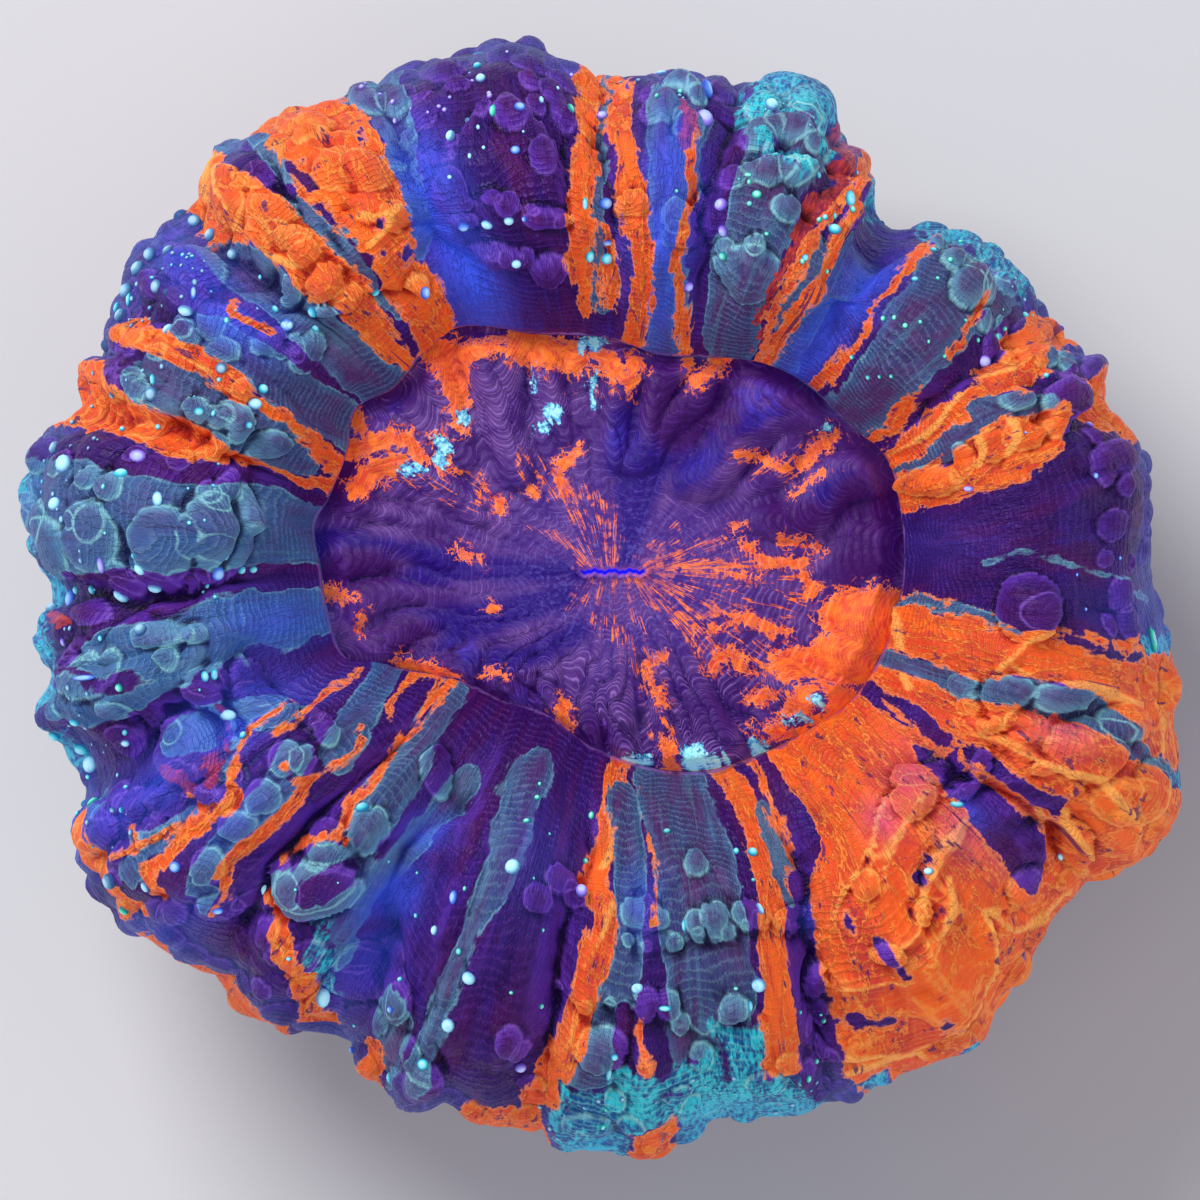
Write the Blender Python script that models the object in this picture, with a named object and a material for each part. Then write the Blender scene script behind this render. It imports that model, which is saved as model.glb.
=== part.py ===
"""Acanthophyllia coral: one large fleshy polyp seated on its stony skeleton.

Metres, +Z up.  The skeleton is cut off flat at z = 0, where the coral rests, and the
middle of the coral's footprint is on the Z axis.  Bearings are in degrees, turning
anticlockwise from +X seen from above, and are taken about the mouth.
"""
import math

import bmesh
import bpy
from mathutils import Vector

MM = 0.001

# Driving dimensions, in millimetres.
MOUTH = (0.3, 1.9)          # plan place of the mouth, a little off the middle
CREST_HEIGHT = 41.0         # top of the mantle, the puffed ring of flesh round the oral disc
RIM_HEIGHT = 19.5           # widest line of the mantle
DISC_HEIGHT = 28.0          # oral disc half way from the mouth to the lip
MOUTH_DEPTH = 2.5           # how far the mouth lies below the disc
COLUMN_RADIUS = 24.0        # body wall under the mantle
FOOT_RADIUS = 20.6          # lower edge of the flesh on the skeleton
FOOT_HEIGHT = 10.0
SEAT_HEIGHT = 18.5          # top of the skeleton, inside the flesh
SKELETON_TOP_RADIUS = 18.6
SKELETON_BASE_RADIUS = 13.0     # the flat cut face
RIB_COUNT = 48
RIB_DEPTH = 0.7
SEAT_GAP = 0.35             # clearance left between flesh and skeleton
STEPS = 96                  # points round every ring, two for each rib

# Lobes and notches of the widest line: bearing, and distance from the mouth.
OUTLINE = [
    (4, 36.4), (10, 36.6), (18, 35.1), (23, 35.5), (30, 34.1), (46, 32.8), (52, 30.6),
    (58, 32.4), (68, 34.8), (80, 34.1), (92, 33.8), (100, 35.9), (117, 37.1), (132, 38.0),
    (140, 37.3), (147, 38.0), (156, 37.4), (168, 39.2), (177, 38.9), (182, 37.8),
    (194, 39.6), (199, 38.7), (209, 41.0), (222, 39.2), (238, 37.4), (248, 38.7),
    (256, 38.0), (273, 39.0), (281, 37.2), (293, 39.7), (308, 40.2), (321, 38.3),
    (329, 40.4), (337, 41.3), (348, 38.5),
]

# The inner edge of the mantle, as plan points from the middle of the coral.
LIP = [
    (19.9, 2.0), (18.7, 9.6), (13.5, 14.4), (7.0, 16.4), (0.5, 17.6), (-5.0, 18.0),
    (-10.0, 18.4), (-14.5, 14.3), (-17.6, 10.0), (-19.8, 5.0), (-18.9, -1.0),
    (-15.0, -4.5), (-7.0, -7.0), (-1.0, -10.2), (6.0, -11.8), (12.0, -9.8),
    (16.6, -6.8), (19.3, -1.5),
]

# Furrows between the mantle's lobes: bearing at the lip, bearing at the rim, depth at
# the crest, and half width in degrees.
FURROWS = [
    (-1, -4, 1.0, 5), (26, 31, 1.6, 4), (48, 52, 3.4, 5), (72, 76, 1.6, 4),
    (90, 92, 1.4, 5), (118, 116, 1.8, 4), (141, 140, 2.0, 4), (165, 163, 2.2, 4),
    (181, 183, 1.8, 4), (196, 203, 3.2, 7), (212, 226, 2.4, 5), (234, 240, 2.4, 4),
    (264, 262, 2.0, 5), (281, 280, 1.2, 4), (307, 293, 2.4, 6), (332, 327, 2.2, 5),
]

# The mantle's section from lip (0) to rim (1): share of the way out, share of the rise
# from the lip to the crest above the rim.
MANTLE_SECTION = [
    (0.0, 0.52), (0.07, 0.73), (0.17, 0.89), (0.29, 0.98), (0.42, 1.0), (0.55, 0.96),
    (0.68, 0.86), (0.80, 0.70), (0.90, 0.49), (0.97, 0.24), (1.0, 0.0),
]

# The underside from rim to body wall: share of the way in, and height.
UNDERSIDE = [(0.03, 17.2), (0.13, 15.4), (0.34, 14.4), (0.64, 14.7), (0.9, 15.0), (1.0, 13.6)]


def round_curve(points, degrees):
    """Smooth closed curve through (bearing, value) points, read at one bearing."""
    count = len(points)
    degrees = (degrees - points[0][0]) % 360 + points[0][0]
    here = max(i for i in range(count) if points[i][0] <= degrees)

    def point(i):
        bearing, value = points[i % count]
        return bearing + 360 * (i // count), value

    (b0, v0), (b1, v1), (b2, v2), (b3, v3) = (point(here + k) for k in (-1, 0, 1, 2))
    span = b2 - b1
    t = (degrees - b1) / span
    slope_1 = (v2 - v0) / (b2 - b0) * span
    slope_2 = (v3 - v1) / (b3 - b1) * span
    return ((2 * t**3 - 3 * t**2 + 1) * v1 + (t**3 - 2 * t**2 + t) * slope_1
            + (3 * t**2 - 2 * t**3) * v2 + (t**3 - t**2) * slope_2)


def about_mouth(points):
    """Plan points as sorted (bearing, distance) pairs about the mouth."""
    pairs = []
    for x, y in points:
        across, up = x - MOUTH[0], y - MOUTH[1]
        pairs.append((math.degrees(math.atan2(up, across)) % 360, math.hypot(across, up)))
    return sorted(pairs)


LIP_CURVE = about_mouth(LIP)


def around(centre, distance, degrees, height):
    angle = math.radians(degrees)
    return (centre[0] + distance * math.cos(angle), centre[1] + distance * math.sin(angle), height)


def furrow_depth(share, degrees):
    """Depth of the furrows at a share of the way from lip to rim."""
    fade = math.sin(math.pi * min(1.0, 0.12 + share * 0.75))
    depth = 0.0
    for at_lip, at_rim, deep, half_width in FURROWS:
        away = (degrees - (at_lip + (at_rim - at_lip) * share) + 180) % 360 - 180
        depth += deep * math.exp(-(away / half_width) ** 2)
    return depth * fade


def disc_ring(share, height):
    """Ring of the oral disc, at a share of the way from mouth to lip."""
    def place(degrees):
        return around(MOUTH, share * round_curve(LIP_CURVE, degrees), degrees, height)
    return place


def mantle_ring(share, rise):
    """Ring of the mantle's upper side, at a share of the way from lip to rim."""
    def place(degrees):
        lip = round_curve(LIP_CURVE, degrees)
        rim = round_curve(OUTLINE, degrees)
        height = RIM_HEIGHT + rise * (CREST_HEIGHT - RIM_HEIGHT) - furrow_depth(share, degrees)
        return around(MOUTH, lip + share * (rim - lip), degrees, height)
    return place


def under_ring(share, height):
    """Ring of the mantle's underside, at a share of the way from rim to body wall."""
    def place(degrees):
        rim = around(MOUTH, round_curve(OUTLINE, degrees), degrees, height)
        wall = around((0, 0), COLUMN_RADIUS, degrees, height)
        return tuple(a + share * (b - a) for a, b in zip(rim, wall))
    return place


def plain_ring(radius, height):
    def place(degrees):
        return around((0, 0), radius, degrees, height)
    return place


def skeleton_radius(height):
    """The stony cone widens upwards, a little faster near its cut base."""
    share = height / SEAT_HEIGHT
    return SKELETON_BASE_RADIUS + (SKELETON_TOP_RADIUS - SKELETON_BASE_RADIUS) * share ** 0.85


def ribbed_ring(height, scale=1.0):
    """Ring of the skeleton: every second point stands out as a rib."""
    def place(degrees):
        rib = RIB_DEPTH / 2 * math.cos(math.radians(degrees * RIB_COUNT))
        uneven = 1 + 0.02 * math.cos(math.radians(2 * degrees + 40))
        return around((0, 0), scale * (skeleton_radius(height) * uneven + rib), degrees, height)
    return place


def loft(name, rings):
    """One closed solid through a list of rings, with a point in the middle of each end.

    A straight row of points is spun flat into rings at radius 1, 2, 3 and so on, and each
    point then goes to its place from its ring number and its bearing.
    """
    bm = bmesh.new()
    row = [bm.verts.new((number, 0, 0)) for number in range(len(rings) + 2)]
    edges = [bm.edges.new(pair) for pair in zip(row, row[1:])]
    bmesh.ops.spin(bm, geom=row + edges, cent=(0, 0, 0), axis=(0, 0, 1), angle=2 * math.pi,
                   steps=STEPS, use_merge=True, use_duplicate=False)
    bmesh.ops.remove_doubles(bm, verts=bm.verts, dist=0.001)
    by_ring = {}
    for vert in bm.verts:
        by_ring.setdefault(round(vert.co.xy.length), []).append(vert)
    for number, place in enumerate(rings, start=1):
        for vert in by_ring[number]:
            degrees = round(math.degrees(math.atan2(vert.co.y, vert.co.x)) % 360, 3) % 360
            vert.co = [value * MM for value in place(degrees)]
    for number, neighbour in ((0, 1), (len(rings) + 1, len(rings))):
        ring = by_ring[neighbour]
        middle = sum((vert.co for vert in ring), Vector()) / len(ring)
        bmesh.ops.pointmerge(bm, verts=by_ring[number], merge_co=middle)
    bmesh.ops.recalc_face_normals(bm, faces=bm.faces)
    mesh = bpy.data.meshes.new(name)
    bm.to_mesh(mesh)
    bm.free()
    mesh.shade_smooth()
    mesh.set_sharp_from_angle(angle=math.radians(50))
    return mesh


def finish(name, colour, roughness):
    material = bpy.data.materials.new(name)
    material.use_nodes = True
    shader = material.node_tree.nodes["Principled BSDF"]
    shader.inputs["Base Color"].default_value = (*colour, 1.0)
    shader.inputs["Roughness"].default_value = roughness
    shader.inputs["Metallic"].default_value = 0.0
    return material


def add(name, mesh, material):
    mesh.materials.append(material)
    thing = bpy.data.objects.new(name, mesh)
    bpy.context.scene.collection.objects.link(thing)
    return thing


def polyp_rings():
    """From the mouth out over the disc and the mantle, under it, and up into the seat."""
    disc = [(0.03, DISC_HEIGHT - MOUTH_DEPTH), (0.09, DISC_HEIGHT - 1.0), (0.2, DISC_HEIGHT - 0.4),
            (0.5, DISC_HEIGHT), (0.8, DISC_HEIGHT + 1.0), (0.95, DISC_HEIGHT + 1.8)]
    rings = [disc_ring(share, height) for share, height in disc]
    rings += [mantle_ring(share, rise) for share, rise in MANTLE_SECTION]
    rings += [under_ring(share, height) for share, height in UNDERSIDE]
    rings += [plain_ring(FOOT_RADIUS + 0.8, FOOT_HEIGHT + 1.0), plain_ring(FOOT_RADIUS, FOOT_HEIGHT)]
    clear = 1 + SEAT_GAP / SKELETON_BASE_RADIUS
    for height in (FOOT_HEIGHT, (FOOT_HEIGHT + SEAT_HEIGHT) / 2, SEAT_HEIGHT):
        rings.append(ribbed_ring(height, clear))
    last = ribbed_ring(SEAT_HEIGHT, clear)
    rings[-1] = lambda degrees: (*last(degrees)[:2], SEAT_HEIGHT + SEAT_GAP)
    return rings


def skeleton_rings():
    heights = [SEAT_HEIGHT * k / 5 for k in range(6)]
    return [ribbed_ring(height) for height in heights]


for old in list(bpy.data.objects):
    bpy.data.objects.remove(old)

add("polyp", loft("polyp", polyp_rings()), finish("polyp_flesh", (0.42, 0.09, 0.25), 0.45))
add("skeleton", loft("skeleton", skeleton_rings()), finish("bare_skeleton", (0.78, 0.74, 0.66), 0.85))
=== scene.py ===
"""Acanthophyllia coral: the finish of every surface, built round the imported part.

Plan places are in millimetres from the middle of the coral, +X right and +Y up in plan.
Bearings are degrees, anticlockwise from +X, taken about the mouth.
"""
import math

import bmesh
import bpy
import numpy as np
from mathutils import Matrix, Vector


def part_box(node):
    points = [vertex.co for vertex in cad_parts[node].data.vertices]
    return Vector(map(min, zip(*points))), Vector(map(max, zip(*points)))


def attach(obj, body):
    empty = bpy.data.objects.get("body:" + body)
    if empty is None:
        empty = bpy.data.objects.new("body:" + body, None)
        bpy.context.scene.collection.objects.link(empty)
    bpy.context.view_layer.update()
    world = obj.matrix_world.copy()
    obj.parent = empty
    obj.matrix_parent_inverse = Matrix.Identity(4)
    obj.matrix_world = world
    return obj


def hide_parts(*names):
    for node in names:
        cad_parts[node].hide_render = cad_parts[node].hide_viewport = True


MM = 0.001

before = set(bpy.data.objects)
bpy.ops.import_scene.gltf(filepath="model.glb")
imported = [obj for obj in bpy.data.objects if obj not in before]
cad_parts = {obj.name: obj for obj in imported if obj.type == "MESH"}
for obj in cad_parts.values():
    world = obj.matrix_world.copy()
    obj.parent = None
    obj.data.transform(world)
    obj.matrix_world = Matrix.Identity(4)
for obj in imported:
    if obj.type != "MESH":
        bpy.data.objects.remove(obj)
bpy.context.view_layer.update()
polyp_top, stone_top = (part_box(node)[1][2] / MM for node in ("polyp", "skeleton"))

# ---------------------------------------------------------------------------------------
# Studio
# A pale matt sheet under the coral, one broad soft light overhead and two weak fills, and
# a camera that looks straight down into the mouth from well above.
# ---------------------------------------------------------------------------------------
VIEW_WIDTH = 80.0       # what the camera sees across, at the height of the rim
VIEW_LEVEL = 22.0
CAMERA_HEIGHT = 1200.0
CAMERA_X = -0.53
LAMP_AIM = Vector((0, 0, 0.02))


def add_object(name, data):
    thing = bpy.data.objects.new(name, data)
    bpy.context.scene.collection.objects.link(thing)
    return thing


def add_node(tree, kind, settings=None, inputs=None):
    """Adds one shader node; an input is a plain value or another node's output."""
    node = tree.nodes.new(kind)
    for name, value in (settings or {}).items():
        setattr(node, name, value)
    for name, value in (inputs or {}).items():
        if isinstance(value, bpy.types.NodeSocket):
            tree.links.new(value, node.inputs[name])
        else:
            node.inputs[name].default_value = value
    return node


def new_finish(name):
    """A material with its node tree and its Principled shader."""
    material = bpy.data.materials.new(name)
    material.use_nodes = True
    tree = material.node_tree
    return material, tree, tree.nodes["Principled BSDF"]


sheet = bmesh.new()
bmesh.ops.create_grid(sheet, x_segments=1, y_segments=1, size=1.5)
floor_mesh = bpy.data.meshes.new("floor")
sheet.to_mesh(floor_mesh)
sheet.free()
floor = add_object("floor", floor_mesh)
floor_finish, _, floor_shader = new_finish("pale_floor")
floor_shader.inputs["Base Color"].default_value = (0.82, 0.83, 0.86, 1)
floor_shader.inputs["Roughness"].default_value = 0.9
floor_mesh.materials.append(floor_finish)


def area_light(name, place, size, power, colour):
    light = bpy.data.lights.new(name, "AREA")
    light.shape = "DISK"
    light.size = size
    light.energy = power
    light.color = colour
    lamp = add_object(name, light)
    lamp.location = place
    lamp.rotation_euler = (LAMP_AIM - Vector(place)).to_track_quat("-Z", "Y").to_euler()


area_light("key_light", (-0.26, 0.36, 0.50), 0.34, 3.3, (1.0, 0.98, 0.96))
area_light("side_fill", (0.55, -0.25, 0.30), 0.6, 0.8, (0.93, 0.96, 1.0))
area_light("back_fill", (-0.5, -0.45, 0.35), 0.6, 0.6, (0.97, 0.97, 1.0))

world = bpy.data.worlds.new("studio_air")
world.use_nodes = True
world.node_tree.nodes["Background"].inputs["Color"].default_value = (0.86, 0.89, 1.0, 1)
world.node_tree.nodes["Background"].inputs["Strength"].default_value = 0.30
bpy.context.scene.world = world
bpy.context.scene.view_settings.view_transform = "Standard"

lens = bpy.data.cameras.new("camera")
lens.sensor_width = 36.0
lens.lens = lens.sensor_width * (CAMERA_HEIGHT - VIEW_LEVEL) / VIEW_WIDTH
lens.clip_start = 0.01
camera = add_object("camera", lens)
camera.location = (CAMERA_X * MM, 0.0, CAMERA_HEIGHT * MM)
bpy.context.scene.camera = camera

# ---------------------------------------------------------------------------------------
# Oral disc
# The sunken floor of living tissue round the slit mouth.  Its skin is folded over the
# hidden septa in rows that fan out from the mouth, and each row carries stacked scallops
# whose free edges face the mouth.
# ---------------------------------------------------------------------------------------
MOUTH = (0.3, 1.9)
SLIT_HALF_LENGTH = 2.0
DISC_HEIGHT = 28.0      # level of its floor; its edge and its hidden back lie lower
EDGE_HEIGHT = 27.0
BACK_HEIGHT = 24.0
DISC_TUCK = 0.9         # how far it runs on under the mantle's lip
FAR = 99.0              # a gap in mm that nothing drawn can bridge
BEYOND = 9.0            # the gap in mm that is marked where no line is near

# The mantle's inner edge in plan, which is where the disc goes under it.
LIP = [
    (19.9, 2), (19.7, 6), (18.7, 9.6), (16, 12), (13.5, 14.4), (10.5, 16), (7, 16.4),
    (3.5, 16.6), (0.5, 17.6), (-5, 18), (-10, 18.4), (-12.3, 16.8), (-14.5, 14.3),
    (-17, 12.8), (-17.6, 10), (-18.8, 7), (-19.8, 5), (-19.4, 2), (-18.9, -1),
    (-17.6, -4), (-15, -4.5), (-10.5, -5.5), (-7, -7), (-4, -8), (-1, -10.2), (2, -11.3),
    (6, -11.8), (9, -11.1), (12, -9.8), (14.6, -8.2), (16.6, -6.8), (18.2, -4.3), (19.3, -1.5),
]


def hermite(knots, values, at):
    """Smooth curve through (knot, value) points, read at an array of places."""
    i = np.clip(np.searchsorted(knots, at, side="right") - 1, 1, len(knots) - 3)
    step = knots[i + 1] - knots[i]
    t = (at - knots[i]) / step
    slope_1 = (values[i + 1] - values[i - 1]) / (knots[i + 1] - knots[i - 1]) * step
    slope_2 = (values[i + 2] - values[i]) / (knots[i + 2] - knots[i]) * step
    return ((2 * t**3 - 3 * t**2 + 1) * values[i] + (t**3 - 2 * t**2 + t) * slope_1
            + (3 * t**2 - 2 * t**3) * values[i + 1] + (t**3 - t**2) * slope_2)


def round_curve(points, bearings):
    """Smooth closed curve through (bearing, value) points."""
    knots, values = (np.array(column, float) for column in zip(*points))
    knots = np.concatenate([knots[-2:] - 360, knots, knots[:2] + 360])
    values = np.concatenate([values[-2:], values, values[:2]])
    return hermite(knots, values, np.mod(bearings, 360))


def open_curve(points, at):
    """Smooth curve through (knot, value) points that stops at its ends."""
    knots, values = (np.array(column, float) for column in zip(*points))
    knots = np.concatenate([[2 * knots[0] - knots[1]], knots, [2 * knots[-1] - knots[-2]]])
    values = np.concatenate([[2 * values[0] - values[1]], values, [2 * values[-1] - values[-2]]])
    return hermite(knots, values, np.clip(at, knots[1], knots[-2]))


def about_mouth(points):
    """Plan points as sorted (bearing, distance) pairs about the mouth."""
    across, up = (np.array(column, float) - middle for column, middle in zip(zip(*points), MOUTH))
    bearings = np.degrees(np.arctan2(up, across)) % 360
    return sorted(zip(bearings, np.hypot(across, up)))


LIP_ROUND = about_mouth(LIP)


def speckle(turns, out, cells_round, cells_out, seed):
    """Smooth random field from -1 to 1 that closes on itself round the coral."""
    rng = np.random.default_rng(seed)
    table = rng.uniform(-1, 1, (cells_out + 3, cells_round))
    x, y = np.mod(turns, 1) * cells_round, np.clip(out, 0, 1) * cells_out + 1
    column, row = np.floor(x).astype(int), np.floor(y).astype(int)
    fx, fy = x - column, y - row
    fx, fy = fx * fx * (3 - 2 * fx), fy * fy * (3 - 2 * fy)

    def corner(down, right):
        return table[np.clip(row + down, 0, cells_out + 2), (column + right) % cells_round]

    low = corner(0, 0) * (1 - fx) + corner(0, 1) * fx
    high = corner(1, 0) * (1 - fx) + corner(1, 1) * fx
    return low * (1 - fy) + high * fy


def layered(turns, out, cells_round, cells_out, seed, octaves=3):
    """Random field with finer and finer grain added."""
    total, size = 0, 0
    for k in range(octaves):
        weight = 0.5 ** k
        total = total + weight * speckle(turns, out, cells_round * 2**k, cells_out * 2**k, seed + k)
        size += weight
    return total / size


def ramp(value, low, high):
    """0 below low, 1 above high, smooth between."""
    t = np.clip((value - low) / (high - low), 0, 1)
    return t * t * (3 - 2 * t)


class Skin:
    """A grid rolled into a ring: u runs round the coral in turns, v along the section."""

    def __init__(self, name, steps_round, steps_along):
        self.name = name
        self.bm = bmesh.new()
        self.bm.loops.layers.uv.new("skin")
        bmesh.ops.create_grid(self.bm, x_segments=steps_round, y_segments=steps_along, size=0.5,
                              calc_uvs=True)
        self.bm.verts.ensure_lookup_table()
        flat = np.array([vert.co[:2] for vert in self.bm.verts]) + 0.5
        self.order = np.lexsort((flat[:, 0].round(6), flat[:, 1].round(6)))
        shape = (steps_along + 1, steps_round + 1)
        self.turns = flat[self.order, 0].reshape(shape)
        self.along = flat[self.order, 1].reshape(shape)
        self.marks = {}

    def finish(self, places, material):
        """Moves the grid to its places, closes it and returns the object."""
        mesh = bpy.data.meshes.new(self.name)
        self.bm.to_mesh(mesh)
        self.bm.free()
        moved = np.empty((len(self.order), 3))
        moved[self.order] = places.reshape(-1, 3) * MM
        mesh.vertices.foreach_set("co", moved.ravel())
        for name, values in self.marks.items():
            kind = "FLOAT_VECTOR" if values.ndim == 3 else "FLOAT"
            layer = mesh.attributes.new(name, kind, "POINT")
            placed = np.empty((len(self.order), values.shape[2] if values.ndim == 3 else 1))
            placed[self.order] = values.reshape(len(self.order), -1)
            layer.data.foreach_set("vector" if values.ndim == 3 else "value", placed.ravel())
        bm = bmesh.new()
        bm.from_mesh(mesh)
        bmesh.ops.remove_doubles(bm, verts=bm.verts, dist=0.000002)
        bmesh.ops.dissolve_degenerate(bm, edges=bm.edges, dist=0.000001)
        bmesh.ops.recalc_face_normals(bm, faces=bm.faces)
        if bm.calc_volume(signed=True) < 0:
            bmesh.ops.reverse_faces(bm, faces=bm.faces)
        bm.to_mesh(mesh)
        bm.free()
        mesh.shade_smooth()
        mesh.materials.append(material)
        return add_object(self.name, mesh)


def grid_normals(places):
    """Unit normals of a rolled grid whose rows run outwards: they face out of the tissue."""
    wrapped = np.concatenate([places[:, -2:-1], places, places[:, 1:2]], axis=1)
    normals = np.cross(np.gradient(places, axis=0), wrapped[:, 2:] - wrapped[:, :-2])
    return normals / np.maximum(np.linalg.norm(normals, axis=2, keepdims=True), 1e-9)


def push_out(places, amount):
    """Moves a rolled grid along its own normals by an array of distances."""
    return places + grid_normals(places) * amount[..., None]


def flow_vector(bearings, across_mm, round_radius):
    """Pattern space that closes round the coral: a tube whose length is the way outwards."""
    angle = np.radians(bearings)
    return np.stack([round_radius * np.cos(angle), round_radius * np.sin(angle), across_mm], axis=2)


def smooth_line(points):
    """A smooth run of places through plan points, 12 to each stretch between two points."""
    knots = np.arange(len(points), dtype=float)
    across, up = zip(*points)
    at = np.linspace(0, len(points) - 1, 12 * (len(points) - 1) + 1)
    return open_curve(list(zip(knots, across)), at), open_curve(list(zip(knots, up)), at)


class Plan:
    """Plan places of a grid, with distances in mm to given lines and ovals."""

    def __init__(self, across, up, seen):
        self.across, self.up, self.seen = across, up, seen
        self.from_mouth = np.hypot(across - MOUTH[0], up - MOUTH[1])

    def near(self, points, reach=4.0):
        """Distance to a line, share of the way along it, and 1 outside or -1 inside it."""
        line_x, line_y = smooth_line(points)
        close = (self.seen & (self.across > line_x.min() - reach) & (self.across < line_x.max() + reach)
                 & (self.up > line_y.min() - reach) & (self.up < line_y.max() + reach))
        gaps = np.hypot(self.across[close][:, None] - line_x, self.up[close][:, None] - line_y)
        nearest = gaps.argmin(axis=1)
        outwards = self.from_mouth[close] - np.hypot(line_x - MOUTH[0], line_y - MOUTH[1])[nearest]
        gap = np.full(self.across.shape, FAR)
        along = np.zeros(self.across.shape)
        side = np.ones(self.across.shape)
        gap[close] = gaps.min(axis=1)
        along[close] = nearest / (len(line_x) - 1)
        side[close] = np.sign(outwards)
        return gap, along, side

    def oval(self, x, y, half_x, half_y):
        """0 at the middle of an oval, 1 at its edge, and more outside it."""
        return np.where(self.seen, np.hypot((self.across - x) / half_x, (self.up - y) / half_y), FAR)


class Paint:
    """Signed distances in mm to listed patches of colour; later ones cover earlier."""

    LIMIT = 4.0

    def __init__(self, plan, kinds):
        self.plan = plan
        self.fields = {kind: np.full(plan.across.shape, -self.LIMIT) for kind in kinds}

    def cover(self, kind, inside):
        inside = np.clip(inside, -self.LIMIT, self.LIMIT)
        for name, field in self.fields.items():
            if name == kind:
                np.maximum(field, inside, out=field)
            else:
                np.minimum(field, -inside, out=field)

    def stroke(self, kind, points, start, end):
        """A line of colour whose half width goes from start to end, in mm."""
        gap, along, _ = self.plan.near(points)
        self.cover(kind, start + (end - start) * along - gap)

    def oval(self, kind, x, y, half_x, half_y):
        self.cover(kind, (1 - self.plan.oval(x, y, half_x, half_y)) * min(half_x, half_y))


DISC_ROWS = 150          # grid rows on the disc itself; the rest close the piece underneath
ALL_ROWS = 166
disc = Skin("oral_disc", 576, ALL_ROWS)
run = disc.along * ALL_ROWS / DISC_ROWS
on_top = run <= 1.0
out = np.minimum(run, 1.0) ** 1.15
bearing = disc.turns * 360
lip = round_curve(LIP_ROUND, bearing)
slit = SLIT_HALF_LENGTH * np.cos(np.radians(bearing)) * (1 - out)
under = np.clip((run - 1) / (ALL_ROWS / DISC_ROWS - 1), 0, 1)     # 0 at the edge, 1 under the mouth
reach = np.where(on_top, out, 1 - under) * (lip + DISC_TUCK)
angle = np.radians(bearing)
disc_x = MOUTH[0] + reach * np.cos(angle) + np.where(on_top, slit, 0)
disc_y = MOUTH[1] + reach * np.sin(angle)
disc_plan = Plan(disc_x, disc_y, on_top)

# Rows of scallops over the septa, of uneven width, with finer steps near the mouth.
ROWS = 38
# How strongly the rows stand out, by bearing: stacked plates below, smooth folds elsewhere.
ROWED = [(0, 0.25), (30, 0.2), (55, 0.25), (75, 0.4), (110, 0.6), (150, 0.5), (180, 0.2), (205, 0.45),
         (222, 0.9), (250, 1.0), (300, 1.0), (318, 0.7), (340, 0.3)]
distance = out * lip
wobble = layered(disc.turns, out, 24, 6, 11)
row_warp = ROWS * disc.turns + 1.7 * layered(disc.turns, out, 14, 3, 15) + 0.35 * wobble
in_row = np.mod(row_warp, 1.0) - 0.5
row_offset = np.random.default_rng(3).uniform(-0.5, 0.5, ROWS)[np.floor(row_warp).astype(int) % ROWS]
steps = np.interp(distance, [0, 2, 5, 9, 13, 17, 20], [0, 6, 14, 24, 33, 41.5, 47])
scallop = ramp(distance, 1.0, 6)
rowed = round_curve(ROWED, bearing) * scallop
rounded = np.sqrt(1 - 0.97 * (2 * in_row) ** 2)      # 1 along the middle of a row, 0.17 at its sides
growth = steps - 2.6 * (1 - rounded) * rowed + 1.2 * row_offset * rowed + 1.6 * wobble
row_swell = rounded * (0.2 + 0.8 * rowed) * np.interp(distance, [0, 3, 8, 20], [0.0, 0.16, 0.6, 0.85])

# Rounded folds over the strongest septa, each a stack of arcs that steps down to its tip:
# plan places of the outer end and the tip, half width, and rise.
FOLDS = [
    ((-7.4, 15.0), (-6.4, 7.2), 1.9, 1.3), ((-3.6, 14.4), (-2.8, 10.2), 1.0, 0.8),
    ((-11.6, 15.2), (-9.4, 10.0), 1.3, 0.9), ((-15.4, 10.6), (-8.0, 5.2), 1.5, 1.0),
    ((-13.0, 12.6), (-9.2, 8.4), 1.0, 0.7), ((-19.0, 3.5), (-10.0, 2.9), 1.3, 0.9),
    ((-17.6, 6.6), (-11.4, 4.8), 1.1, 0.8), ((-16.6, -0.2), (-12.0, 0.3), 1.0, 0.9),
    ((-17.0, -3.2), (-10.8, -1.4), 1.1, 1.0), ((12.8, 13.2), (7.4, 11.2), 2.3, 1.7),
    ((8.2, 10.4), (4.2, 6.8), 1.7, 1.2), ((18.4, 9.0), (9.4, 4.4), 1.7, 1.4),
    ((19.2, 3.2), (13.8, 2.4), 1.9, 0.8), ((4.3, 15.6), (1.2, 8.2), 1.1, 1.0),
    ((6.0, 14.6), (3.0, 9.0), 0.9, 0.8), ((0.9, 13.4), (0.4, 8.4), 1.0, 0.8),
    ((11.4, 9.8), (8.8, 6.8), 0.9, 0.6), ((7.2, -10.4), (5.4, -5.8), 1.5, 1.5),
    ((15.6, -7.8), (10.0, -4.4), 1.9, 1.7), ((10.8, -9.0), (9.2, -7.6), 0.9, 1.1),
    ((1.3, -9.2), (0.6, -3.0), 1.1, 0.9), ((3.8, -10.0), (2.9, -4.4), 1.0, 0.8),
    ((-1.4, -9.0), (-1.0, -4.4), 1.0, 0.8), ((-3.8, -7.8), (-3.6, -2.6), 1.2, 0.9),
    ((-6.6, -6.6), (-6.2, -1.2), 1.5, 1.0), ((-10.0, -5.4), (-8.6, -2.2), 1.1, 0.9),
    ((18.9, -1.0), (15.2, -1.0), 2.2, 1.5), ((18.4, -4.6), (13.6, -3.2), 1.7, 1.3),
]
folds = np.zeros_like(out)
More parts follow.
